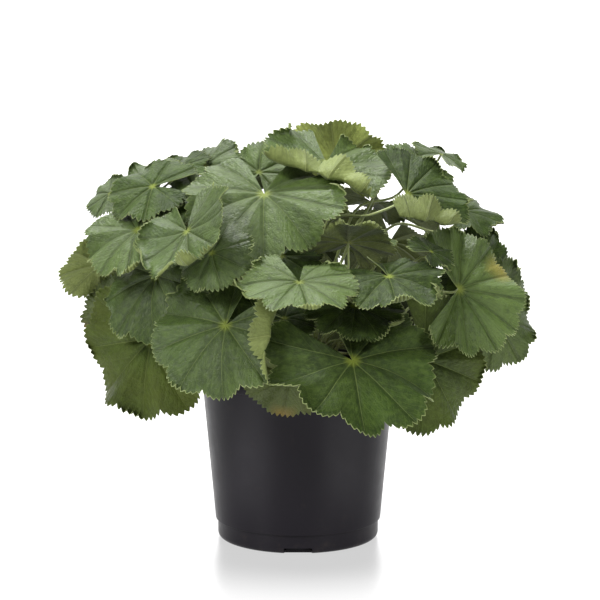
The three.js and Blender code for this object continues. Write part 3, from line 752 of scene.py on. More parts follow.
class Growth:
    """What makes one leaf its own: uneven lobes and teeth, a waved margin and stretches of it rolled."""

    def __init__(self, shape: LeafShape, drawn: random.Random) -> None:
        """Draws the growth of one leaf.

        Args:
            shape: The leaf.
            drawn: Where the draws come from.
        """
        self.shape = shape
        self.teeth = TEETH if shape.radius > SMALL_LEAF else TEETH - 2
        self.lobe_lengths = [drawn.uniform(*LOBE_LENGTHS) for _ in range(shape.lobes)]
        self.lobe_cups = [drawn.uniform(-1.0, 1.0) for _ in range(shape.lobes)]
        self.tooth_sizes = [drawn.uniform(*TOOTH_SIZES) for _ in range(shape.lobes * self.teeth + 1)]
        self.wave_starts = [drawn.uniform(0, math.tau) for _ in MARGIN_WAVES]
        self.pleat = FINE_PLEAT * drawn.uniform(*PLEATS)
        self.cleft = shape.cleft + drawn.uniform(*CLEFTS)
        self.liveliness = drawn.uniform(*LIVELINESS)
        span = math.degrees(shape.half)
        rolls = []
        for _ in range(ROLLS):
            turn = drawn.choice(ROLL_TURNS)
            middle, width = drawn.uniform(-span, span), drawn.uniform(*ROLL_WIDTHS)
            rolls.append((middle, width, turn, drawn.uniform(*ROLL_STARTS)))
        self.rolls = tuple(rolls)

    def columns(self) -> np.ndarray:
        """Places the columns: on each tooth's point, in each cut, and one between.

        Returns:
            Their angles, in radians.
        """
        places = [0.0, 0.5]
        for cut in range(1, self.teeth, 2):
            places += [cut, cut + TOOTH_LEAN, cut + 2 * TOOTH_LEAN, cut + 1 + TOOTH_LEAN]
        half_lobe = np.array(places) / self.teeth
        positions = np.concatenate([-half_lobe[:0:-1], half_lobe])
        rows = [np.append(lobe, lobe + (1 + positions) / 2) for lobe in range(self.shape.lobes)]
        along = np.append(np.concatenate(rows), self.shape.lobes)
        return along * 2 * self.shape.half / self.shape.lobes - self.shape.half

    def lobe(self, angle: np.ndarray) -> np.ndarray:
        """Returns which lobe each angle lies in."""
        whole = np.floor(self.shape.lobes_along(angle) + 1e-9).astype(int)
        return np.clip(whole, 0, self.shape.lobes - 1)

    def outline(self, angle: np.ndarray, share: np.ndarray) -> np.ndarray:
        """Gives the leaf uneven lobes, deeper cuts and teeth.

        Args:
            angle: Angles from the middle lobe, clockwise, in radians.
            share: Shares of the way from the hub to the margin.

        Returns:
            The factor on the margin's reach at each point.
        """
        signed = self.shape.lobe_position(angle)
        position, side = np.abs(signed), np.sign(signed)
        lobe = self.lobe(angle)
        length = np.array(self.lobe_lengths)[lobe] * np.cos(position * math.pi / 2) ** 2
        step = position * self.teeth
        tooth = np.floor((step + 1) / 2)
        away = step - np.maximum(2 * tooth - 1 + 2 * TOOTH_LEAN, 0) * (tooth > 0)
        inner = np.where(tooth > 0, 2 * TOOTH_LEAN, 1.0)
        outer = np.where(tooth > 0, 2 - 2 * TOOTH_LEAN, 1.0)
        flank = np.clip(np.where(away < 0, -away / inner, away / outer), 0, 1)
        number = (lobe * self.teeth + (self.teeth // 2) + side * tooth).astype(int)
        size = np.array(self.tooth_sizes)[np.clip(number, 0, len(self.tooth_sizes) - 1)]
        teeth = TOOTH_DEPTH / self.shape.radius * size * flank ** TOOTH_CURVE
        cut = teeth + self.cleft * position ** CLEFT_POWER
        return 1 + (length - cut) * share ** TOOTH_REACH + length * 0.5 * share * (1 - share)

    def waves(self, angle: np.ndarray, share: np.ndarray) -> np.ndarray:
        """Gives the leaf its own waves, pleats and cupped lobes.

        Args:
            angle: Angles from the middle lobe, clockwise, in radians.
            share: Shares of the way from the hub to the margin.

        Returns:
            The extra height of each point, in shares of the leaf's radius.
        """
        position = self.shape.lobe_position(angle)
        total = -self.pleat * share * np.cos(math.pi * position)
        for (number, height), start in zip(MARGIN_WAVES, self.wave_starts):
            total = total + self.liveliness * height * share ** WAVE_POWER * np.sin(number * angle + start)
        cups = np.array(self.lobe_cups)[self.lobe(angle)]
        return total + CUP * cups * np.cos(position * math.pi / 2) ** 2 * share ** WAVE_POWER


def bent(distance: np.ndarray, height: np.ndarray,
         bend: np.ndarray | float) -> tuple[np.ndarray, np.ndarray]:
    """Bends a flat sheet down round a line through its hub.

    Args:
        distance: How far each point lies from the line.
        height: How high it lies.
        bend: The bend in radians a millimetre.

    Returns:
        The distance and the height of each point after the bend.
    """
    bend = np.broadcast_to(bend, distance.shape)
    flat = np.abs(bend) < 1e-6
    safe = np.where(flat, 1.0, bend)
    turned = distance * safe
    return (np.where(flat, distance, np.sin(turned) * (1 / safe + height)),
            np.where(flat, height, np.cos(turned) * (1 / safe + height) - 1 / safe))


def unit(rays: np.ndarray) -> np.ndarray:
    """Returns vectors of length one in the same directions."""
    return rays / np.linalg.norm(rays, axis=-1)[..., None]


def outward(turn: float, lift: float) -> np.ndarray:
    """Returns the direction that is turn degrees round the pot from the front and lift degrees up."""
    a, e = math.radians(turn), math.radians(lift)
    return np.array([math.sin(a) * math.cos(e), -math.cos(a) * math.cos(e), math.sin(e)])


def front_leaves() -> list[LeafShape]:
    """Lists the leaves that are placed one by one.

    Returns:
        Their shapes, in the order of the draws.
    """
    return [
        LeafShape("front_low_right", (36, -118, 152), (12, 52), 146, 64,
                  across=14, notch=20, along=(20, 0), tone=0.15, cleft=0.0, curls=((75, 60, 60, 0.5),)),
        LeafShape("front_low_left", (-49, -121, 176), (-20, 42), 210, 56,
                  across=20, along=(30, 5), tone=0.4, cleft=-0.06,
                  curls=((-125, 44, 200, 0.5), (128, 52, 130, 0.5))),
        LeafShape("left_middle", (-100, -68, 202), (-46, 32), 204, 52,
                  across=25, phase=60, along=(24, 5), tone=0.35),
        LeafShape("left_low", (-103, -62, 155), (-30, 10), 222, 59,
                  across=20, phase=200, along=(12, 0), olive=0.75, tone=0.2),
        LeafShape("left_butterfly", (-74, -90, 233), (-55, 42), 135, 42,
                  across=-22, along=(10, 0), tone=0.55, curls=((0, 60, 140, 0.64), (75, 50, 130, 0.7))),
        LeafShape("crown_wide", (-23, -62, 256), (-6, 58), 176, 59,
                  across=14, notch=22, along=(38, 14), tone=0.75, cleft=0.0),
        LeafShape("crown_top", (19, -28, 268), (28, 60), 205, 47,
                  across=-14, along=(-10, 0), tone=0.8, curls=((15, 85, 165, 0.4),)),
        # crown_behind's tone above 1 paints light shining through it onto its underside
        LeafShape("crown_behind", (28, 32, 269), (176, 24), 4, 44, along=(10, 0), tone=1.8, lobes=7),
        LeafShape("right_top", (86, 12, 267), (30, 45), 70, 30, along=(20, 10), lobes=7),
        LeafShape("right_upper", (75, -62, 257), (24, 50), 100, 48,
                  across=15, notch=68, along=(10, 10), tone=0.0, curls=((92, 45, 215, 0.42),)),
        LeafShape("right_small", (120, -5, 239), (30, 66), 85, 30, lobes=7),
        LeafShape("right_far_top", (100, 28, 270), (60, 68), 75, 22, lobes=7),
        LeafShape("right_behind", (130, -20, 195), (38, 22), 125, 40, tone=0.0),
        LeafShape("right_big", (112, -74, 193), (24, 36), 104, 52,
                  across=10, notch=55, along=(14, 20), tone=1.0, marks=(("yellow", 3.2, 0.9, 0.26),)),
        LeafShape("right_low_behind", (134, -32, 168), (34, 10), 112, 44, olive=0.2),
        LeafShape("right_low", (88, -80, 144), (22, 8), 150, 54, across=20, olive=0.45, tone=0.1),
        LeafShape("middle_right", (62, -109, 208), (12, 70), 148, 42,
                  along=(16, 25), tone=0.0, cleft=0.03, curls=((32, 24, 110, 0.78), (-23, 24, 110, 0.78))),
        LeafShape("middle", (1, -124, 205), (0, 75), 170, 41,
                  along=(12, -5), tone=0.9, cleft=0.02, curls=((95, 28, 120, 0.76),)),
        LeafShape("middle_left", (-54, -97, 216), (-25, 35), 150, 28, across=35, lobes=7),
        LeafShape("middle_low", (39, -98, 185), (18, 64), 165, 37,
                  across=20, tone=0.15, curls=((-25, 40, 110, 0.76),)),
        LeafShape("funnel", (34, -66, 223), (180, 52), 0, 36, along=(10, 0)),
        LeafShape("middle_small", (90, -72, 217), (45, 60), 80, 20, tone=0.0, lobes=7),
        # far_left's tone above 1 paints light shining through it onto its underside
        LeafShape("far_left", (-140, -20, 201), (-160, 35), 98, 32, tone=1.2, lobes=7),
        LeafShape("left_upper", (-112, -56, 232), (-35, 54), 235, 44, tone=0.75),
        LeafShape("left_top", (-99, -28, 255), (-25, 56), 262, 35, tone=0.1, lobes=7),
        LeafShape("left_small", (-131, 10, 245), (-40, 50), 275, 22, lobes=7),
        LeafShape("left_far_top", (-112, 28, 254), (-60, 62), 290, 34),
        LeafShape("top_left", (-94, 34, 263), (-60, 55), 320, 33, tone=0.0),
        LeafShape("top_middle_left", (-68, 30, 266), (-40, 50), 340, 31, lobes=7),
        LeafShape("top_bright", (-28, 16, 261), (-20, 30), 350, 32, tone=0.9, lobes=7),
        LeafShape("left_inner", (-70, -34, 253), (-20, 55), 180, 30, lobes=7),
        LeafShape("left_low_small", (-125, -34, 168), (-20, 15), 250, 32,
                  olive=0.6, marks=(("brown", 3.4, 0.95, 0.12),), lobes=7),
        LeafShape("inner_top", (-12, -62, 217), (0, 45), 170, 34, tone=0.0, lobes=7),
        LeafShape("low_brown", (-5, -90, 137), (0, 0), 190, 34,
                  olive=1.0, marks=(("brown", 3.5, 0.95, 0.2),), lobes=7),
        LeafShape("inner_low", (-25, -80, 170), (-20, 20), 180, 36, tone=0.0, lobes=7),
        LeafShape("inner_edge", (-9, -92, 175), (-5, 72), 100, 30, tone=0.0, lobes=7),
    ]


@dataclass(frozen=True)
class BackRow:
    """A row of leaves round the side that the front view hides, by its hubs' height and reach."""

    lift: float
    reach: float
    radius: float
    count: int
    start: float
    end: float


@dataclass
class Draw:
    """Even draws from -1 to 1, the same each run."""

    state: int = 3
    factor: int = 16807
    modulus: int = 2147483647

    def next(self) -> float:
        """Returns the next draw."""
        self.state = self.state * self.factor % self.modulus
        return 2 * (self.state / self.modulus) - 1


def back_leaves() -> list[LeafShape]:
    """Lists the leaves that a rule places, with the draws in the solids' order.

    Returns:
        Their shapes.
    """
    turn_scatter, tip_scatter, lift_scatter, size_scatter = 10, 30, 6, 0.12
    face_lift, nine_lobes_from = 12, 44
    rows = [
        BackRow(2, 122, 51, 6, 112, 264), BackRow(30, 132, 48, 5, 112, 250),
        BackRow(56, 128, 46, 3, 135, 215), BackRow(24, 92, 38, 2, 150, 215),
    ]
    draw = Draw()
    leaves = []
    for row in rows:
        for place in range(row.count):
            turn = row.start + (row.end - row.start) * place / (row.count - 1) + turn_scatter * draw.next()
            lift = row.lift + lift_scatter * draw.next()
            hub = DOME_CENTRE + outward(turn, lift) * row.reach
            radius = row.radius * (1 + size_scatter * draw.next())
            face_turn = turn + turn_scatter * draw.next()
            faces = (face_turn, lift + face_lift + lift_scatter * draw.next())
            tip = 180 + tip_scatter * draw.next()
            lobes = 9 if radius > nine_lobes_from else 7
            leaves.append(LeafShape(f"back_{len(leaves) + 1}", tuple(hub), faces, tip, radius, lobes=lobes,
                                    across=22, along=(26, 0), phase=180 * draw.next()))
    return leaves


def read(items: bpy.types.bpy_prop_collection, name: str, width: int,
         kind: type = float) -> np.ndarray:
    """Reads one property of all of a mesh's items.

    Args:
        items: The mesh's points, corners or triangles.
        name: The property.
        width: How many numbers each item has.
        kind: The numbers' type.

    Returns:
        One row for each item.
    """
    values = np.empty(len(items) * width, kind)
    items.foreach_get(name, values)
    return values.reshape(-1, width)


def node_mesh(node: str) -> tuple[np.ndarray, np.ndarray]:
    """Reads a CAD node's mesh and merges its points.

    Args:
        node: The node's name.

    Returns:
        The points, in millimetres, and the triangles.
    """
    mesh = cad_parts[node].data
    mesh.calc_loop_triangles()
    rounded = np.round(read(mesh.vertices, "co", 3) / MM, 3)
    merged, back = np.unique(rounded, axis=0, return_inverse=True)
    return merged, back.reshape(-1)[read(mesh.loop_triangles, "vertices", 3, int)]


def all_but(node: str, solids: dict[str, tuple[np.ndarray, np.ndarray]]) -> BVHTree:
    """Gathers every solid but one to be searched.

    Args:
        node: The node that is left out.
        solids: Each node's points and triangles.

    Returns:
        The search tree, in millimetres.
    """
    points, faces, count = [], [], 0
    for name, (merged, triangles) in solids.items():
        if name != node:
            points.append(merged)
            faces.append(triangles + count)
            count += len(merged)
    return BVHTree.FromPolygons(np.concatenate(points).tolist(), np.concatenate(faces).tolist())


def eased(values: np.ndarray, rows: int, columns: int) -> np.ndarray:
    """Takes the least value round each place and evens it out, so that it never rises.

    Args:
        values: A value for each ring and column.
        rows: How many rings it looks to either side.
        columns: How many columns it looks to either side.

    Returns:
        The new values.
    """
    for worst in (True, False):
        for axis, reach in ((0, rows), (1, columns)):
            padding = [(0, 0), (0, 0)]
            padding[axis] = (reach, reach)
            padded = np.pad(values, padding, mode="edge")
            length = values.shape[axis]
            views = [np.take(padded, range(start, start + length), axis) for start in range(2 * reach + 1)]
            values = np.min(views, axis=0) if worst else np.mean(views, axis=0)
    return values


def smooth_steps(knots: np.ndarray, values: np.ndarray, wanted: np.ndarray) -> np.ndarray:
    """Returns values between knots on a smooth curve through them.

    Args:
        knots: Rising positions.
        values: One row for each knot.
        wanted: Positions to read, within the knots' range.

    Returns:
        One row for each wanted position.
    """
    slopes = np.gradient(values, knots, axis=0)
    cell = np.clip(np.searchsorted(knots, wanted) - 1, 0, len(knots) - 2)
    width = (knots[cell + 1] - knots[cell])[:, None]
    t = ((wanted - knots[cell]) / width[:, 0])[:, None]
    return ((1 + 2 * t) * (1 - t) ** 2 * values[cell] + t * (1 - t) ** 2 * width * slopes[cell]
            + t ** 2 * (3 - 2 * t) * values[cell + 1] + t ** 2 * (t - 1) * width * slopes[cell + 1])


@dataclass
class Leaf:
    """A leaf with its stalk: drawn fine, then laid where its solid has settled."""

    shape: LeafShape
    growth: Growth
    finishes: LeafFinishes
    tone: float
    rings: int = 11

    @property
    def lightness(self) -> float:
        """The leaf's own tone, or else the drawn one."""
        return self.tone if self.shape.tone is None else self.shape.tone

    def coarse_net(self) -> tuple[np.ndarray, list[tuple[float, int]]]:
        """Draws the solid's own net again.

        Returns:
            The points as first drawn, and the rings as (share, steps).
        """
        shape = self.shape
        start = min((curl[3] for curl in shape.curls), default=0.5)
        shares = [start / 2, start, 1.0] if shape.curls else [0.5, 1.0]
        full = shape.lobes * POINTS_PER_LOBE
        rings = [(share, full if share == 1.0 else full // 2) for share in shares]
        points = [shape.surface(np.zeros(1), np.zeros(1))]
        for share, steps in rings:
            angles = np.linspace(-shape.half, shape.half, steps + 1)
            points.append(shape.surface(angles, np.full(steps + 1, share)))
        return np.concatenate(points), rings

    def settled_shift(self, merged: np.ndarray) -> tuple[list[tuple[float, int]], list[np.ndarray]]:
        """Finds how far the solid has moved out from the middle of the dome.

        Args:
            merged: The solid's points, in millimetres.

        Returns:
            The rings, and the shifts of the hub and of each ring's points.
        """
        first, rings = self.coarse_net()
        reach, found_reach = (np.linalg.norm(points - DOME_CENTRE, axis=1) for points in (first, merged))
        rays, found = unit(first - DOME_CENTRE), unit(merged - DOME_CENTRE)
        away = np.linalg.norm(found[None] - rays[:, None], axis=2)
        outermost = np.where(away < SAME_RAY, found_reach[None], -1.0).max(axis=1)
        if (outermost < 0).any():
            log.warning("%s: %d points not found", self.shape.name, (outermost < 0).sum())
        shift = np.where(outermost > 0, outermost - reach, 0.0)
        parts = np.split(shift, np.cumsum([1] + [steps + 1 for _, steps in rings])[:-1])
        return rings, parts

    def fine_points(self, merged: np.ndarray, share: np.ndarray, others: BVHTree) -> np.ndarray:
        """Returns the fine surface, moved as the solid's was, waved as far as the leaves round it let it.

        Args:
            merged: The solid's points.
            share: The rings' shares.
            others: All the other solids.

        Returns:
            Points by ring and column.
        """
        rings, parts = self.settled_shift(merged)
        angle = self.growth.columns()
        knots = [np.full(len(angle), parts[0][0])]
        for (_, steps), part in zip(rings, parts[1:]):
            corners = np.linspace(-self.shape.half, self.shape.half, steps + 1)
            knots.append(smooth_steps(corners, part[:, None], angle)[:, 0])
        shift = smooth_steps(np.array([0.0] + [share for share, _ in rings]), np.array(knots), share)
        grid_angle, grid_share = np.meshgrid(angle, share)
        laid = []
        for lively in (False, True):
            points = self.shape.surface(grid_angle.ravel(), grid_share.ravel(), self.growth, lively)
            moved = points + unit(points - DOME_CENTRE) * shift.reshape(-1, 1)
            laid.append(moved.reshape(len(share), len(angle), 3))
        calm, waved = laid
        return calm + (waved - calm) * self.freedom(calm, waved, others)[..., None]

    def freedom(self, calm: np.ndarray, waved: np.ndarray, others: BVHTree) -> np.ndarray:
        """Finds how much of its waves each point may keep and stay clear of the other leaves.

        Args:
            calm: The points without waves.
            waved: The points with them.
            others: All the other solids.

        Returns:
            A share for each point, 0 to 1.
        """
        rays = unit(calm - DOME_CENTRE)
        move = ((waved - calm) * rays).sum(axis=2)
        kept = np.ones(move.shape)
        for place in np.ndindex(*move.shape):
            if abs(move[place]) < LEAST_MOVE:
                continue
            way = Vector(rays[place] * math.copysign(1.0, move[place]))
            hit = others.ray_cast(Vector(calm[place]), way, FREE_ROOM)
            if hit[0] is not None:
                own = BLADE if move[place] < 0 else 0.0
                room = max(hit[3] / 2 - BLADE_CLEAR - own, 0.0)
                kept[place] = min(1.0, room / abs(move[place]))
        return eased(kept, *EASED_OVER)

    def shares(self) -> np.ndarray:
        """Spaces the rings, closer together towards the margin.

        Returns:
            Their shares of the way from the hub.
        """
        rings = self.rings if self.shape.radius > SMALL_LEAF else self.rings - 2
        if any(curl[2] >= FOLD_FROM for curl in self.shape.curls):
            rings = 2 * self.rings
        even = np.linspace(0.0, 1.0, rings + 1)
        return 1 - (1 - even) ** RING_CROWDING

    def blade(self, merged: np.ndarray, others: BVHTree) -> Object:
        """Makes the blade, with its thickness.

        Args:
            merged: The solid's points, in millimetres.
            others: All the other solids.

        Returns:
            The blade.
        """
        shape, angle, share = self.shape, self.growth.columns(), self.shares()
        blade = begun(shape.name, bpy.ops.mesh.primitive_grid_add, size=2,
                      x_subdivisions=len(angle) - 1, y_subdivisions=len(share) - 1)
        mesh = blade.data
        flat = read(mesh.vertices, "co", 3)
        column = np.rint((flat[:, 0] + 1) / 2 * (len(angle) - 1)).astype(int)
        ring = np.rint((flat[:, 1] + 1) / 2 * (len(share) - 1)).astype(int)
        points = self.fine_points(merged, share, others)[ring, column] * MM
        mesh.vertices.foreach_set("co", points.ravel())

        along = shape.lobes_along(angle[column])
        corners = read(mesh.loops, "vertex_index", 1, int)[:, 0]
        while mesh.uv_layers:
            mesh.uv_layers.remove(mesh.uv_layers[0])
        layer = mesh.uv_layers.new(name="lobes")
        layer.data.foreach_set("uv", np.column_stack([along, share[ring]])[corners].ravel())
        self.paint(mesh, along, share[ring])
        mesh.update()

        bpy.ops.object.mode_set(mode="EDIT")
        bpy.ops.mesh.select_all(action="SELECT")
        bpy.ops.mesh.remove_doubles(threshold=1e-6)
        bpy.ops.object.mode_set(mode="OBJECT")
        for finish in self.finishes.blade(self.lightness):
            mesh.materials.append(finish)
        modify(blade, "SOLIDIFY", thickness=BLADE * MM, offset=-1, material_offset=1, material_offset_rim=2)
        bpy.ops.object.shade_smooth_by_angle(angle=math.radians(BLADE_ANGLE))
        return blade

    def paint(self, mesh: Mesh, along: np.ndarray, share: np.ndarray) -> None:
        """Writes the leaf's tone and the marks of age as attributes.

        Args:
            mesh: The blade's mesh.
            along: Each point's place along the lobes.
            share: Each point's share of the way to the margin.
        """
        shape = self.shape
        marks = {"tone": np.full(len(along), self.lightness), "olive": np.full(len(along), shape.olive),
                 "yellow": np.zeros(len(along)), "brown": np.zeros(len(along))}
        marks["olive"] *= np.clip(0.35 + 0.8 * share, 0, 1)
        for colour, centre, reach, width in shape.marks:
            away = np.hypot((along - centre) * 0.6 * share, share - reach)
            marks[colour] = np.maximum(marks[colour], np.clip(1.3 - away / width, 0, 1))
        for name, values in marks.items():
            mesh.attributes.new(name, "FLOAT", "POINT").data.foreach_set("value", values)

    def stalk_line(self, merged: np.ndarray, triangles: np.ndarray) -> np.ndarray:
        """Follows the solid stalk ring by ring from its foot to the hub.

        Args:
            merged: The solid's points, in millimetres.
            triangles: The solid's triangles, as rows of point numbers.

        Returns:
            The middle of each ring.
        """
        near = [set() for _ in merged]
        for a, b, c in triangles:
            near[a] |= {b, c}
            near[b] |= {a, c}
            near[c] |= {a, b}
        foot_height = SOIL_TOP - ROOT_DEPTH
        inside = np.hypot(merged[:, 0], merged[:, 1]) < CROWN_RADIUS
        ring = set(np.nonzero(inside & (np.abs(merged[:, 2] - foot_height) < 0.1))[0])
        seen, line = set(), []
        for _ in range(STALK_RINGS):
            line.append(merged[sorted(ring)].mean(axis=0))
            seen |= ring
            ring = set().union(*(near[k] for k in ring)) - seen
            if len(ring) != STALK_CORNERS:
                break
        return np.array(line)

    def stalk(self, merged: np.ndarray, triangles: np.ndarray, hub: np.ndarray) -> Object:
        """Makes the stalk, round and slightly tapered, ending inside the blade.

        Args:
            merged: The solid's points, in millimetres.
            triangles: The solid's triangles, as rows of point numbers.
            hub: Where the fine blade's hub lies.

        Returns:
            The stalk.
        """
        line = self.stalk_line(merged, triangles)
        line = np.vstack([line, hub - self.shape.axes()[2] * BLADE / 2])
        runs = np.concatenate([[0.0], np.cumsum(np.linalg.norm(np.diff(line, axis=0), axis=1))])
        wanted = np.linspace(0, runs[-1], STALK_POINTS)
        path = smooth_steps(runs, line, wanted)
        stalk = begun(f"{self.shape.name}_stalk", bpy.ops.curve.primitive_nurbs_path_add)
        curve = stalk.data
        curve.splines.clear()
        spline = curve.splines.new("POLY")
        spline.points.add(len(path) - 1)
        spline.points.foreach_set("co", np.column_stack([path * MM, np.ones(len(path))]).ravel())
        spline.points.foreach_set("radius", np.interp(wanted / runs[-1], *zip(*STALK_TAPER)))
        curve.bevel_depth = STALK_RADIUS * MM
        curve.bevel_resolution = 1
        curve.use_fill_caps = True
        select_only(stalk)
        bpy.ops.object.convert(target="MESH")
        bpy.ops.object.shade_smooth()
        return stalk

    def build(self, others: BVHTree) -> Object:
        """Makes the leaf in place of its CAD node.

        Args:
            others: All the other solids.

        Returns:
            The finished leaf.
        """
        merged, triangles = node_mesh(self.shape.node)
        blade = self.blade(merged, others)
        hub = self.shape.surface(np.zeros(1), np.zeros(1))[0]
        _, parts = self.settled_shift(merged)
        hub = hub + unit(hub - DOME_CENTRE) * parts[0][0]
        stalk = self.stalk(merged, triangles, hub)
        stalk.data.materials.clear()
        stalk.data.materials.append(self.finishes.stalk)
        leaf = joined(f"{self.shape.node}_fine", blade, stalk)
        apply_place(leaf)
        seat(leaf, "leaf", self.shape.node)
        return leaf


def turned_shell(name: str, outline: Profile, sides: int) -> Object:
    """Returns a round closed body, raised from a disc ring by ring.

    Args:
        name: The object's name.
        outline: Radius and height of each ring, in millimetres, from the middle of the underside
            round the outside and back to the middle of the inside.
        sides: How many sides each ring has.

    Returns:
        The closed body.
    """
    radius, height = outline[0]
    shell = begun(name, bpy.ops.mesh.primitive_circle_add, vertices=sides, radius=radius * MM,
                  fill_type="NGON", location=(0, 0, height * MM))
    apply_place(shell)
    bpy.ops.object.mode_set(mode="EDIT")
    bpy.ops.mesh.select_all(action="SELECT")
    for next_radius, next_height in outline[1:]:
        lift = (0, 0, (next_height - height) * MM)
        bpy.ops.mesh.extrude_region_move(TRANSFORM_OT_translate={"value": lift})
        grow = next_radius / radius
        bpy.ops.transform.resize(value=(grow, grow, 1), center_override=(0, 0, next_height * MM))
        radius, height = next_radius, next_height
    bpy.ops.mesh.select_all(action="SELECT")
    bpy.ops.mesh.normals_make_consistent(inside=False)
    bpy.ops.object.mode_set(mode="OBJECT")
    return shell


def corner(radius: float, height: float, size: float, start: float, end: float,
           steps: int = 4) -> Profile:
    """Returns the points of a rounded corner: its centre, its size and its two angles in degrees."""
    angles = np.radians(np.linspace(start, end, steps + 1))
    return [(radius + size * math.cos(a), height + size * math.sin(a)) for a in angles]


@dataclass
class Pot:
    """The nursery pot: a tapered wall with a plain lip, a stepped foot and a floor with drainage holes."""

    height: float = 125.0
    lip_radius: float = 70.0
    lip_height: float = 10.5
    lip_step: float = 1.3
    wall: float = 1.4
    foot_radius: float = 57.8
    foot_height: float = 13.8
    foot_step: float = 1.6
    foot_rounding: float = 3.8
    bead: float = 0.5
    slit: float = 0.15
    floor: float = 1.6
    channel_lift: float = 3.2
    channel_inner: float = 34.0
    channel_outer: float = 50.0
    drains: int = 3
    drain_width: float = 20.0
    drain_height: float = 4.4
    drain_reach: float = 12.0
    drain_rounding: float = 1.2
    floor_holes: int = 6
    hole_radius: float = 4.0
    sides: int = 120

    @property
    def shoulder(self) -> float:
        """The height where the lip starts."""
        return self.height - self.lip_height

    def wall_radius(self, height: float) -> float:
        """Gives the tapered wall's outer radius.

        Args:
            height: Where it is wanted.

        Returns:
            The radius.
        """
        share = (height - self.foot_height) / (self.shoulder - self.foot_height)
        low, high = self.foot_radius + self.foot_step, self.lip_radius - self.lip_step
        return low + (high - low) * share

    def outline(self) -> Profile:
        """Draws the shell's outline.

        Returns:
            Radius and height of each ring.
        """
        wall, floor, bead, size, slit = self.wall, self.floor, self.bead, self.foot_rounding, self.slit
        foot, step, low = self.foot_radius, self.foot_height, self.wall_radius(self.foot_height)
        lip, top, shoulder = self.lip_radius, self.height, self.shoulder
        inner, outer, lift = self.channel_inner, self.channel_outer, self.channel_lift
        under = [(inner, 0.0), (inner, lift), (outer, lift), (outer, 0.0)]
        outside = corner(foot - size, size, size, -90, 0, steps=6)
        outside += [(foot, step - bead), (foot + slit, step - slit)]
        outside += corner(low - bead, step + bead, bead, -90, 0)
        outside += [(self.wall_radius(h), h) for h in np.linspace(step + 5.0, shoulder, 9)]
        outside += [(lip - bead, shoulder + slit)] + corner(lip - 0.4, shoulder + 0.7, 0.4, -60, 0)
        edge = corner(lip - 0.35, top - bead, bead, 0, 90)
        edge += corner(lip - wall + bead, top - bead, bead, 90, 180)
        inside = [(self.wall_radius(shoulder) - wall, shoulder), (low - wall, step + 1.0),
                  (foot - wall, step), (foot - wall, floor), (outer + floor, floor),
                  (outer + floor, lift + floor), (inner - floor, lift + floor), (inner - floor, floor)]
        return under + outside + edge + inside

    def cutters(self) -> list[Object]:
        """Makes the blocks and rods that cut the foot's notches and the floor's holes.

        Returns:
            The blocks and rods.
        """
        made = []
        for order in range(self.drains):
            turn = order * math.tau / self.drains
            place = (math.sin(turn) * self.foot_radius * MM, -math.cos(turn) * self.foot_radius * MM, 0)
            notch = begun("notch", bpy.ops.mesh.primitive_cube_add, size=1, location=place,
                          rotation=(0, 0, turn))
            notch.scale = (self.drain_width * MM, self.drain_reach * MM, 2 * self.drain_height * MM)
            apply_place(notch)
            modify(notch, "BEVEL", width=self.drain_rounding * MM, segments=3)
            made.append(notch)
        middle = (self.channel_inner + self.channel_outer) / 2 * MM
        for order in range(self.floor_holes):
            turn = (order + 0.5) * math.tau / self.floor_holes
            hole = begun("hole", bpy.ops.mesh.primitive_cylinder_add, vertices=24,
                         radius=self.hole_radius * MM, depth=20 * MM,
                         location=(math.sin(turn) * middle, math.cos(turn) * middle, 0))
            apply_place(hole)
            made.append(hole)
        return made

    def build(self, finish: Material) -> Object:
        """Makes the pot in place of its CAD node.

        Args:
            finish: Its material.

        Returns:
            The finished pot.
        """
        pot = turned_shell("pot_shell", self.outline(), self.sides)
        tool = joined("drainage", *self.cutters())
        modify(pot, "BOOLEAN", operation="DIFFERENCE", solver="EXACT", use_self=True, object=tool)
        bpy.data.objects.remove(tool)
        select_only(pot)
        bpy.ops.object.shade_smooth_by_angle(angle=math.radians(POT_ANGLE))
        pot.data.materials.append(finish)
        seat(pot, "pot_plastic", "pot")
        return pot


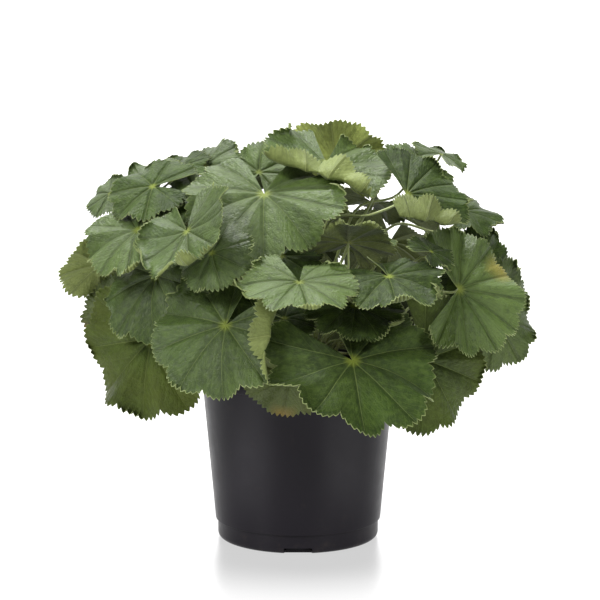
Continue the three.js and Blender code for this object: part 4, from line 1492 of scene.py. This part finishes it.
@dataclass
class Compost:
    """The compost: its surface in crumbs, raised a little round the plant's crown."""

    pot: Pot
    edge: float = 112.0
    gap: float = 0.3
    clod_size: float = 6.0
    clod_height: float = 3.0
    crumbs: int = 420
    strewn: float = 63.0

    def surface_height(self, radius: float, rim: float) -> float:
        """Returns the height of the compost at a radius: flat in the crown, then falling to the rim."""
        share = np.clip((rim - radius) / (rim - CROWN_RADIUS), 0, 1)
        return self.edge + (SOIL_TOP - self.edge) * float(share)

    def build(self, finish: Material) -> Object:
        """Makes the compost in place of its CAD node.

        Args:
            finish: Its material.

        Returns:
            The finished compost.
        """
        pot, gap = self.pot, self.gap
        inset, low, floor = pot.wall + gap, pot.drain_height + gap, pot.floor + gap
        inner, outer, foot = pot.channel_inner - floor, pot.channel_outer + floor, pot.foot_radius - inset
        rim = pot.wall_radius(self.edge) - inset
        outline = [(20.0, floor), (inner, floor), (inner, pot.channel_lift + floor),
                   (outer, pot.channel_lift + floor), (outer, low), (foot, low), (foot, pot.foot_height),
                   (pot.wall_radius(pot.foot_height) - inset, pot.foot_height + 1.3), (rim, self.edge)]
        for radius in np.linspace(rim - 2.0, 2.0, 26):
            outline.append((float(radius), self.surface_height(radius, rim)))
        soil = turned_shell("compost", outline, 96)
        self.roughen(soil)
        self.scatter(soil)
        soil.data.materials.append(finish)
        seat(soil, "compost", "soil")
        return soil

    def roughen(self, soil: Object) -> None:
        """Lifts and sinks the surface in clods.

        Args:
            soil: The compost.
        """
        clods = bpy.data.textures.new("clods", "CLOUDS")
        clods.noise_scale = self.clod_size * MM
        clods.noise_depth = 3
        top = soil.vertex_groups.new(name="surface")
        top.add([v.index for v in soil.data.vertices if v.co.z > (self.edge + 0.4) * MM], 1.0, "REPLACE")
        modify(soil, "DISPLACE", texture=clods, strength=self.clod_height * MM, mid_level=0.62,
               direction="Z", vertex_group="surface")

    def scatter(self, soil: Object) -> None:
        """Strews crumbs and bits of bark over the surface.

        Args:
            soil: The compost, which they are joined to.
        """
        drawn = random.Random(CRUMB_SEED)
        crumb = begun("crumb", bpy.ops.mesh.primitive_ico_sphere_add, subdivisions=1, radius=1.0)
        copies = []
        for _ in range(self.crumbs):
            radius = self.strewn * math.sqrt(drawn.random())
            turn = drawn.uniform(0, math.tau)
            copy = bpy.data.objects.new("crumb", crumb.data.copy())
            bpy.context.collection.objects.link(copy)
            size = drawn.uniform(*CRUMB_SIZES)
            copy.scale = [size * drawn.uniform(0.6, 1.5) * MM for _ in range(3)]
            copy.rotation_euler = [drawn.uniform(0, math.tau) for _ in range(3)]
            height = self.surface_height(radius, self.strewn + 2) + 0.2 * size
            copy.location = (radius * math.cos(turn) * MM, radius * math.sin(turn) * MM, height * MM)
            for vertex in copy.data.vertices:
                vertex.co *= drawn.uniform(0.75, 1.2)
            copies.append(copy)
        bpy.data.objects.remove(crumb)
        apply_place(joined("compost", soil, *copies))


@dataclass(frozen=True)
class Sun:
    """A soft light from afar: turn round the pot, height and width in degrees, and strength."""

    name: str
    turn: float
    lift: float
    power: float
    width: float


@dataclass
class Studio:
    """The floor, the room, the lights and the camera.

    Attributes:
        floor_glow: How bright the floor glows far out; painted_shadow_glow, dimmer, paints a soft shadow at
            the pot's foot.
        painted_shadow_span: Where the floor's glow starts to rise out of the painted shadow and where it is
            full, in metres.
        painted_light_pool_centre: The right one of two painted pools of light in front;
            painted_light_pool_squared_radius is the square of its radius.
        ceiling_span: How far up a ray points where the dim ceiling starts and is full.
        back_span: How far backwards it points where the bright wall starts and is full.
    """

    floor_size: float = 80.0
    floor_colour: Colour = (0.03, 0.03, 0.03, 1.0)
    floor_roughness: float = 0.30
    floor_glow: float = 0.97
    # painted shadow: the floor glows less round the pot's foot
    painted_shadow_glow: float = 0.61
    painted_shadow_span: tuple[float, float] = (0.085, 0.19)
    # painted light: two brighter pools in front, which the pot's wall reflects as upright highlights
    painted_light_pool_strength: float = 1.5
    painted_light_pool_centre: tuple[float, float] = (0.20, -0.15)
    painted_light_pool_squared_radius: float = 0.019
    ceiling_glow: float = 0.05
    ceiling_span: tuple[float, float] = (0.12, 0.6)
    back_glow: float = 4.0
    front_glow: float = 0.15
    back_span: tuple[float, float] = (0.5, 0.97)
    suns: tuple[Sun, ...] = (
        Sun("key", -52, 40, 2.6, 24), Sun("fill", 42, 40, 1.65, 24),
        Sun("top", -150, 66, 4.0, 14), Sun("rim", 180, 45, 0.4, 30))

    def build(self) -> None:
        """Makes the floor, the surroundings, the lights and the camera."""
        self.floor()
        self.surroundings()
        self.lights()
        self.camera()

    def floor(self) -> None:
        """Makes a glossy floor that glows evenly far out, with a painted shadow at the pot's foot and two
        painted pools of light in front.
        """
        floor = begun("floor", bpy.ops.mesh.primitive_plane_add, size=self.floor_size)
        s = Shader("pale_floor")
        place = s.place()
        x, y = s.parts(place)[:2]
        # painted shadow: the glow is dimmer round the pot's foot
        glow = s.remap(s.vector("LENGTH", place), *self.painted_shadow_span, self.painted_shadow_glow, self.floor_glow)
        # painted light: two brighter pools in front of the pot
        beside = s.minus(s.math("ABSOLUTE", x), self.painted_light_pool_centre[0])
        ahead = s.minus(y, self.painted_light_pool_centre[1])
        off = s.plus(s.times(beside, beside), s.times(ahead, ahead))
        glow = s.plus(glow, s.remap(off, self.painted_light_pool_squared_radius, 0.0, 0.0, self.painted_light_pool_strength))
        s.set(Base_Color=self.floor_colour, Roughness=self.floor_roughness, Specular_IOR_Level=0.5,
              Emission_Color=(1.0, 1.0, 1.0, 1.0), Emission_Strength=glow)
        floor.data.materials.append(s.material)

    def surroundings(self) -> None:
        """Makes a dim room with a bright wall behind the plant."""
        world = bpy.data.worlds.new("studio")
        bpy.context.scene.world = world
        world.use_nodes = True
        n = Nodes(world.node_tree)
        _, y, z = n.parts(n.add("TexCoord", {}).outputs["Generated"])
        walls = n.remap(y, *self.back_span, self.front_glow, self.back_glow)
        upwards = n.remap(z, *self.ceiling_span)
        glow = n.add("Mix", {0: upwards, 2: walls, 3: self.ceiling_glow}).outputs[0]
        n.add("OutputWorld", {0: n.add("Background", {"Strength": glow}).outputs[0]})

    def lights(self) -> None:
        """Hangs a key and a fill in front, a strong light behind high up and a weak one lower."""
        for sun in self.suns:
            light = bpy.data.lights.new(sun.name, "SUN")
            light.energy = sun.power
            light.angle = math.radians(sun.width)
            holder = bpy.data.objects.new(sun.name, light)
            bpy.context.scene.collection.objects.link(holder)
            holder.rotation_mode = "QUATERNION"
            holder.rotation_quaternion = Vector(outward(sun.turn, sun.lift)).to_track_quat("Z", "Y")

    def camera(self) -> None:
        """Stands the camera where the photograph's stood."""
        lens = bpy.data.cameras.new("camera")
        lens.lens = CAMERA_LENS
        lens.sensor_width = CAMERA_SENSOR
        lens.clip_end = 200.0
        camera = bpy.data.objects.new("camera", lens)
        bpy.context.scene.collection.objects.link(camera)
        camera.location = Vector(CAMERA_AT) * MM
        aim = Vector(CAMERA_AIM) - Vector(CAMERA_AT)
        camera.rotation_euler = aim.to_track_quat("-Z", "Y").to_euler()
        scene = bpy.context.scene
        scene.camera = camera
        scene.view_settings.view_transform = "Standard"


def leaf_finishes() -> LeafFinishes:
    """Makes the leaf's materials.

    Returns:
        The five materials.
    """
    upper = BladeFinish(BladeSide.UPPER, (0.018, 0.033, 0.005, 1), (0.085, 0.136, 0.022, 1),
                        (0.15, 0.20, 0.055, 1), (0.20, 0.25, 0.030, 1),
                        relief=0.6, sheen=0.04, roughness=0.50)
    under = BladeFinish(BladeSide.UNDER, (0.10, 0.125, 0.030, 1), (0.205, 0.250, 0.068, 1),
                        (0.31, 0.35, 0.11, 1), (0.28, 0.32, 0.07, 1),
                        relief=-0.5, sheen=0.15, roughness=0.6, gloss=0.3)
    margin = BladeFinish(BladeSide.MARGIN, (0.20, 0.25, 0.08, 1), (0.29, 0.35, 0.15, 1),
                         (0.30, 0.34, 0.16, 1), (0.28, 0.31, 0.10, 1),
                         relief=0.1, sheen=0.1, roughness=0.6)
    matt = replace(upper, gloss=MATT_GLOSS)
    return LeafFinishes(upper.make(), matt.make(), under.make(), margin.make(), StalkFinish().make())


def main() -> None:
    """Builds the studio, the pot, the compost and each leaf."""
    Studio().build()
    pot = Pot()
    log.info("pot: %d faces", len(pot.build(PlasticFinish().make()).data.polygons))
    log.info("compost: %d faces", len(Compost(pot).build(CompostFinish().make()).data.polygons))
    finishes = leaf_finishes()
    drawn = random.Random(LEAF_SEED)
    solids = {node: node_mesh(node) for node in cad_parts}
    for shape in front_leaves() + back_leaves():
        leaf = Leaf(shape, Growth(shape, drawn), finishes, drawn.uniform(*TONES))
        built = leaf.build(all_but(shape.node, solids))
        log.info("%s: %d faces", shape.node, len(built.data.polygons))
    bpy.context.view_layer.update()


if __name__ == "__main__":
    main()
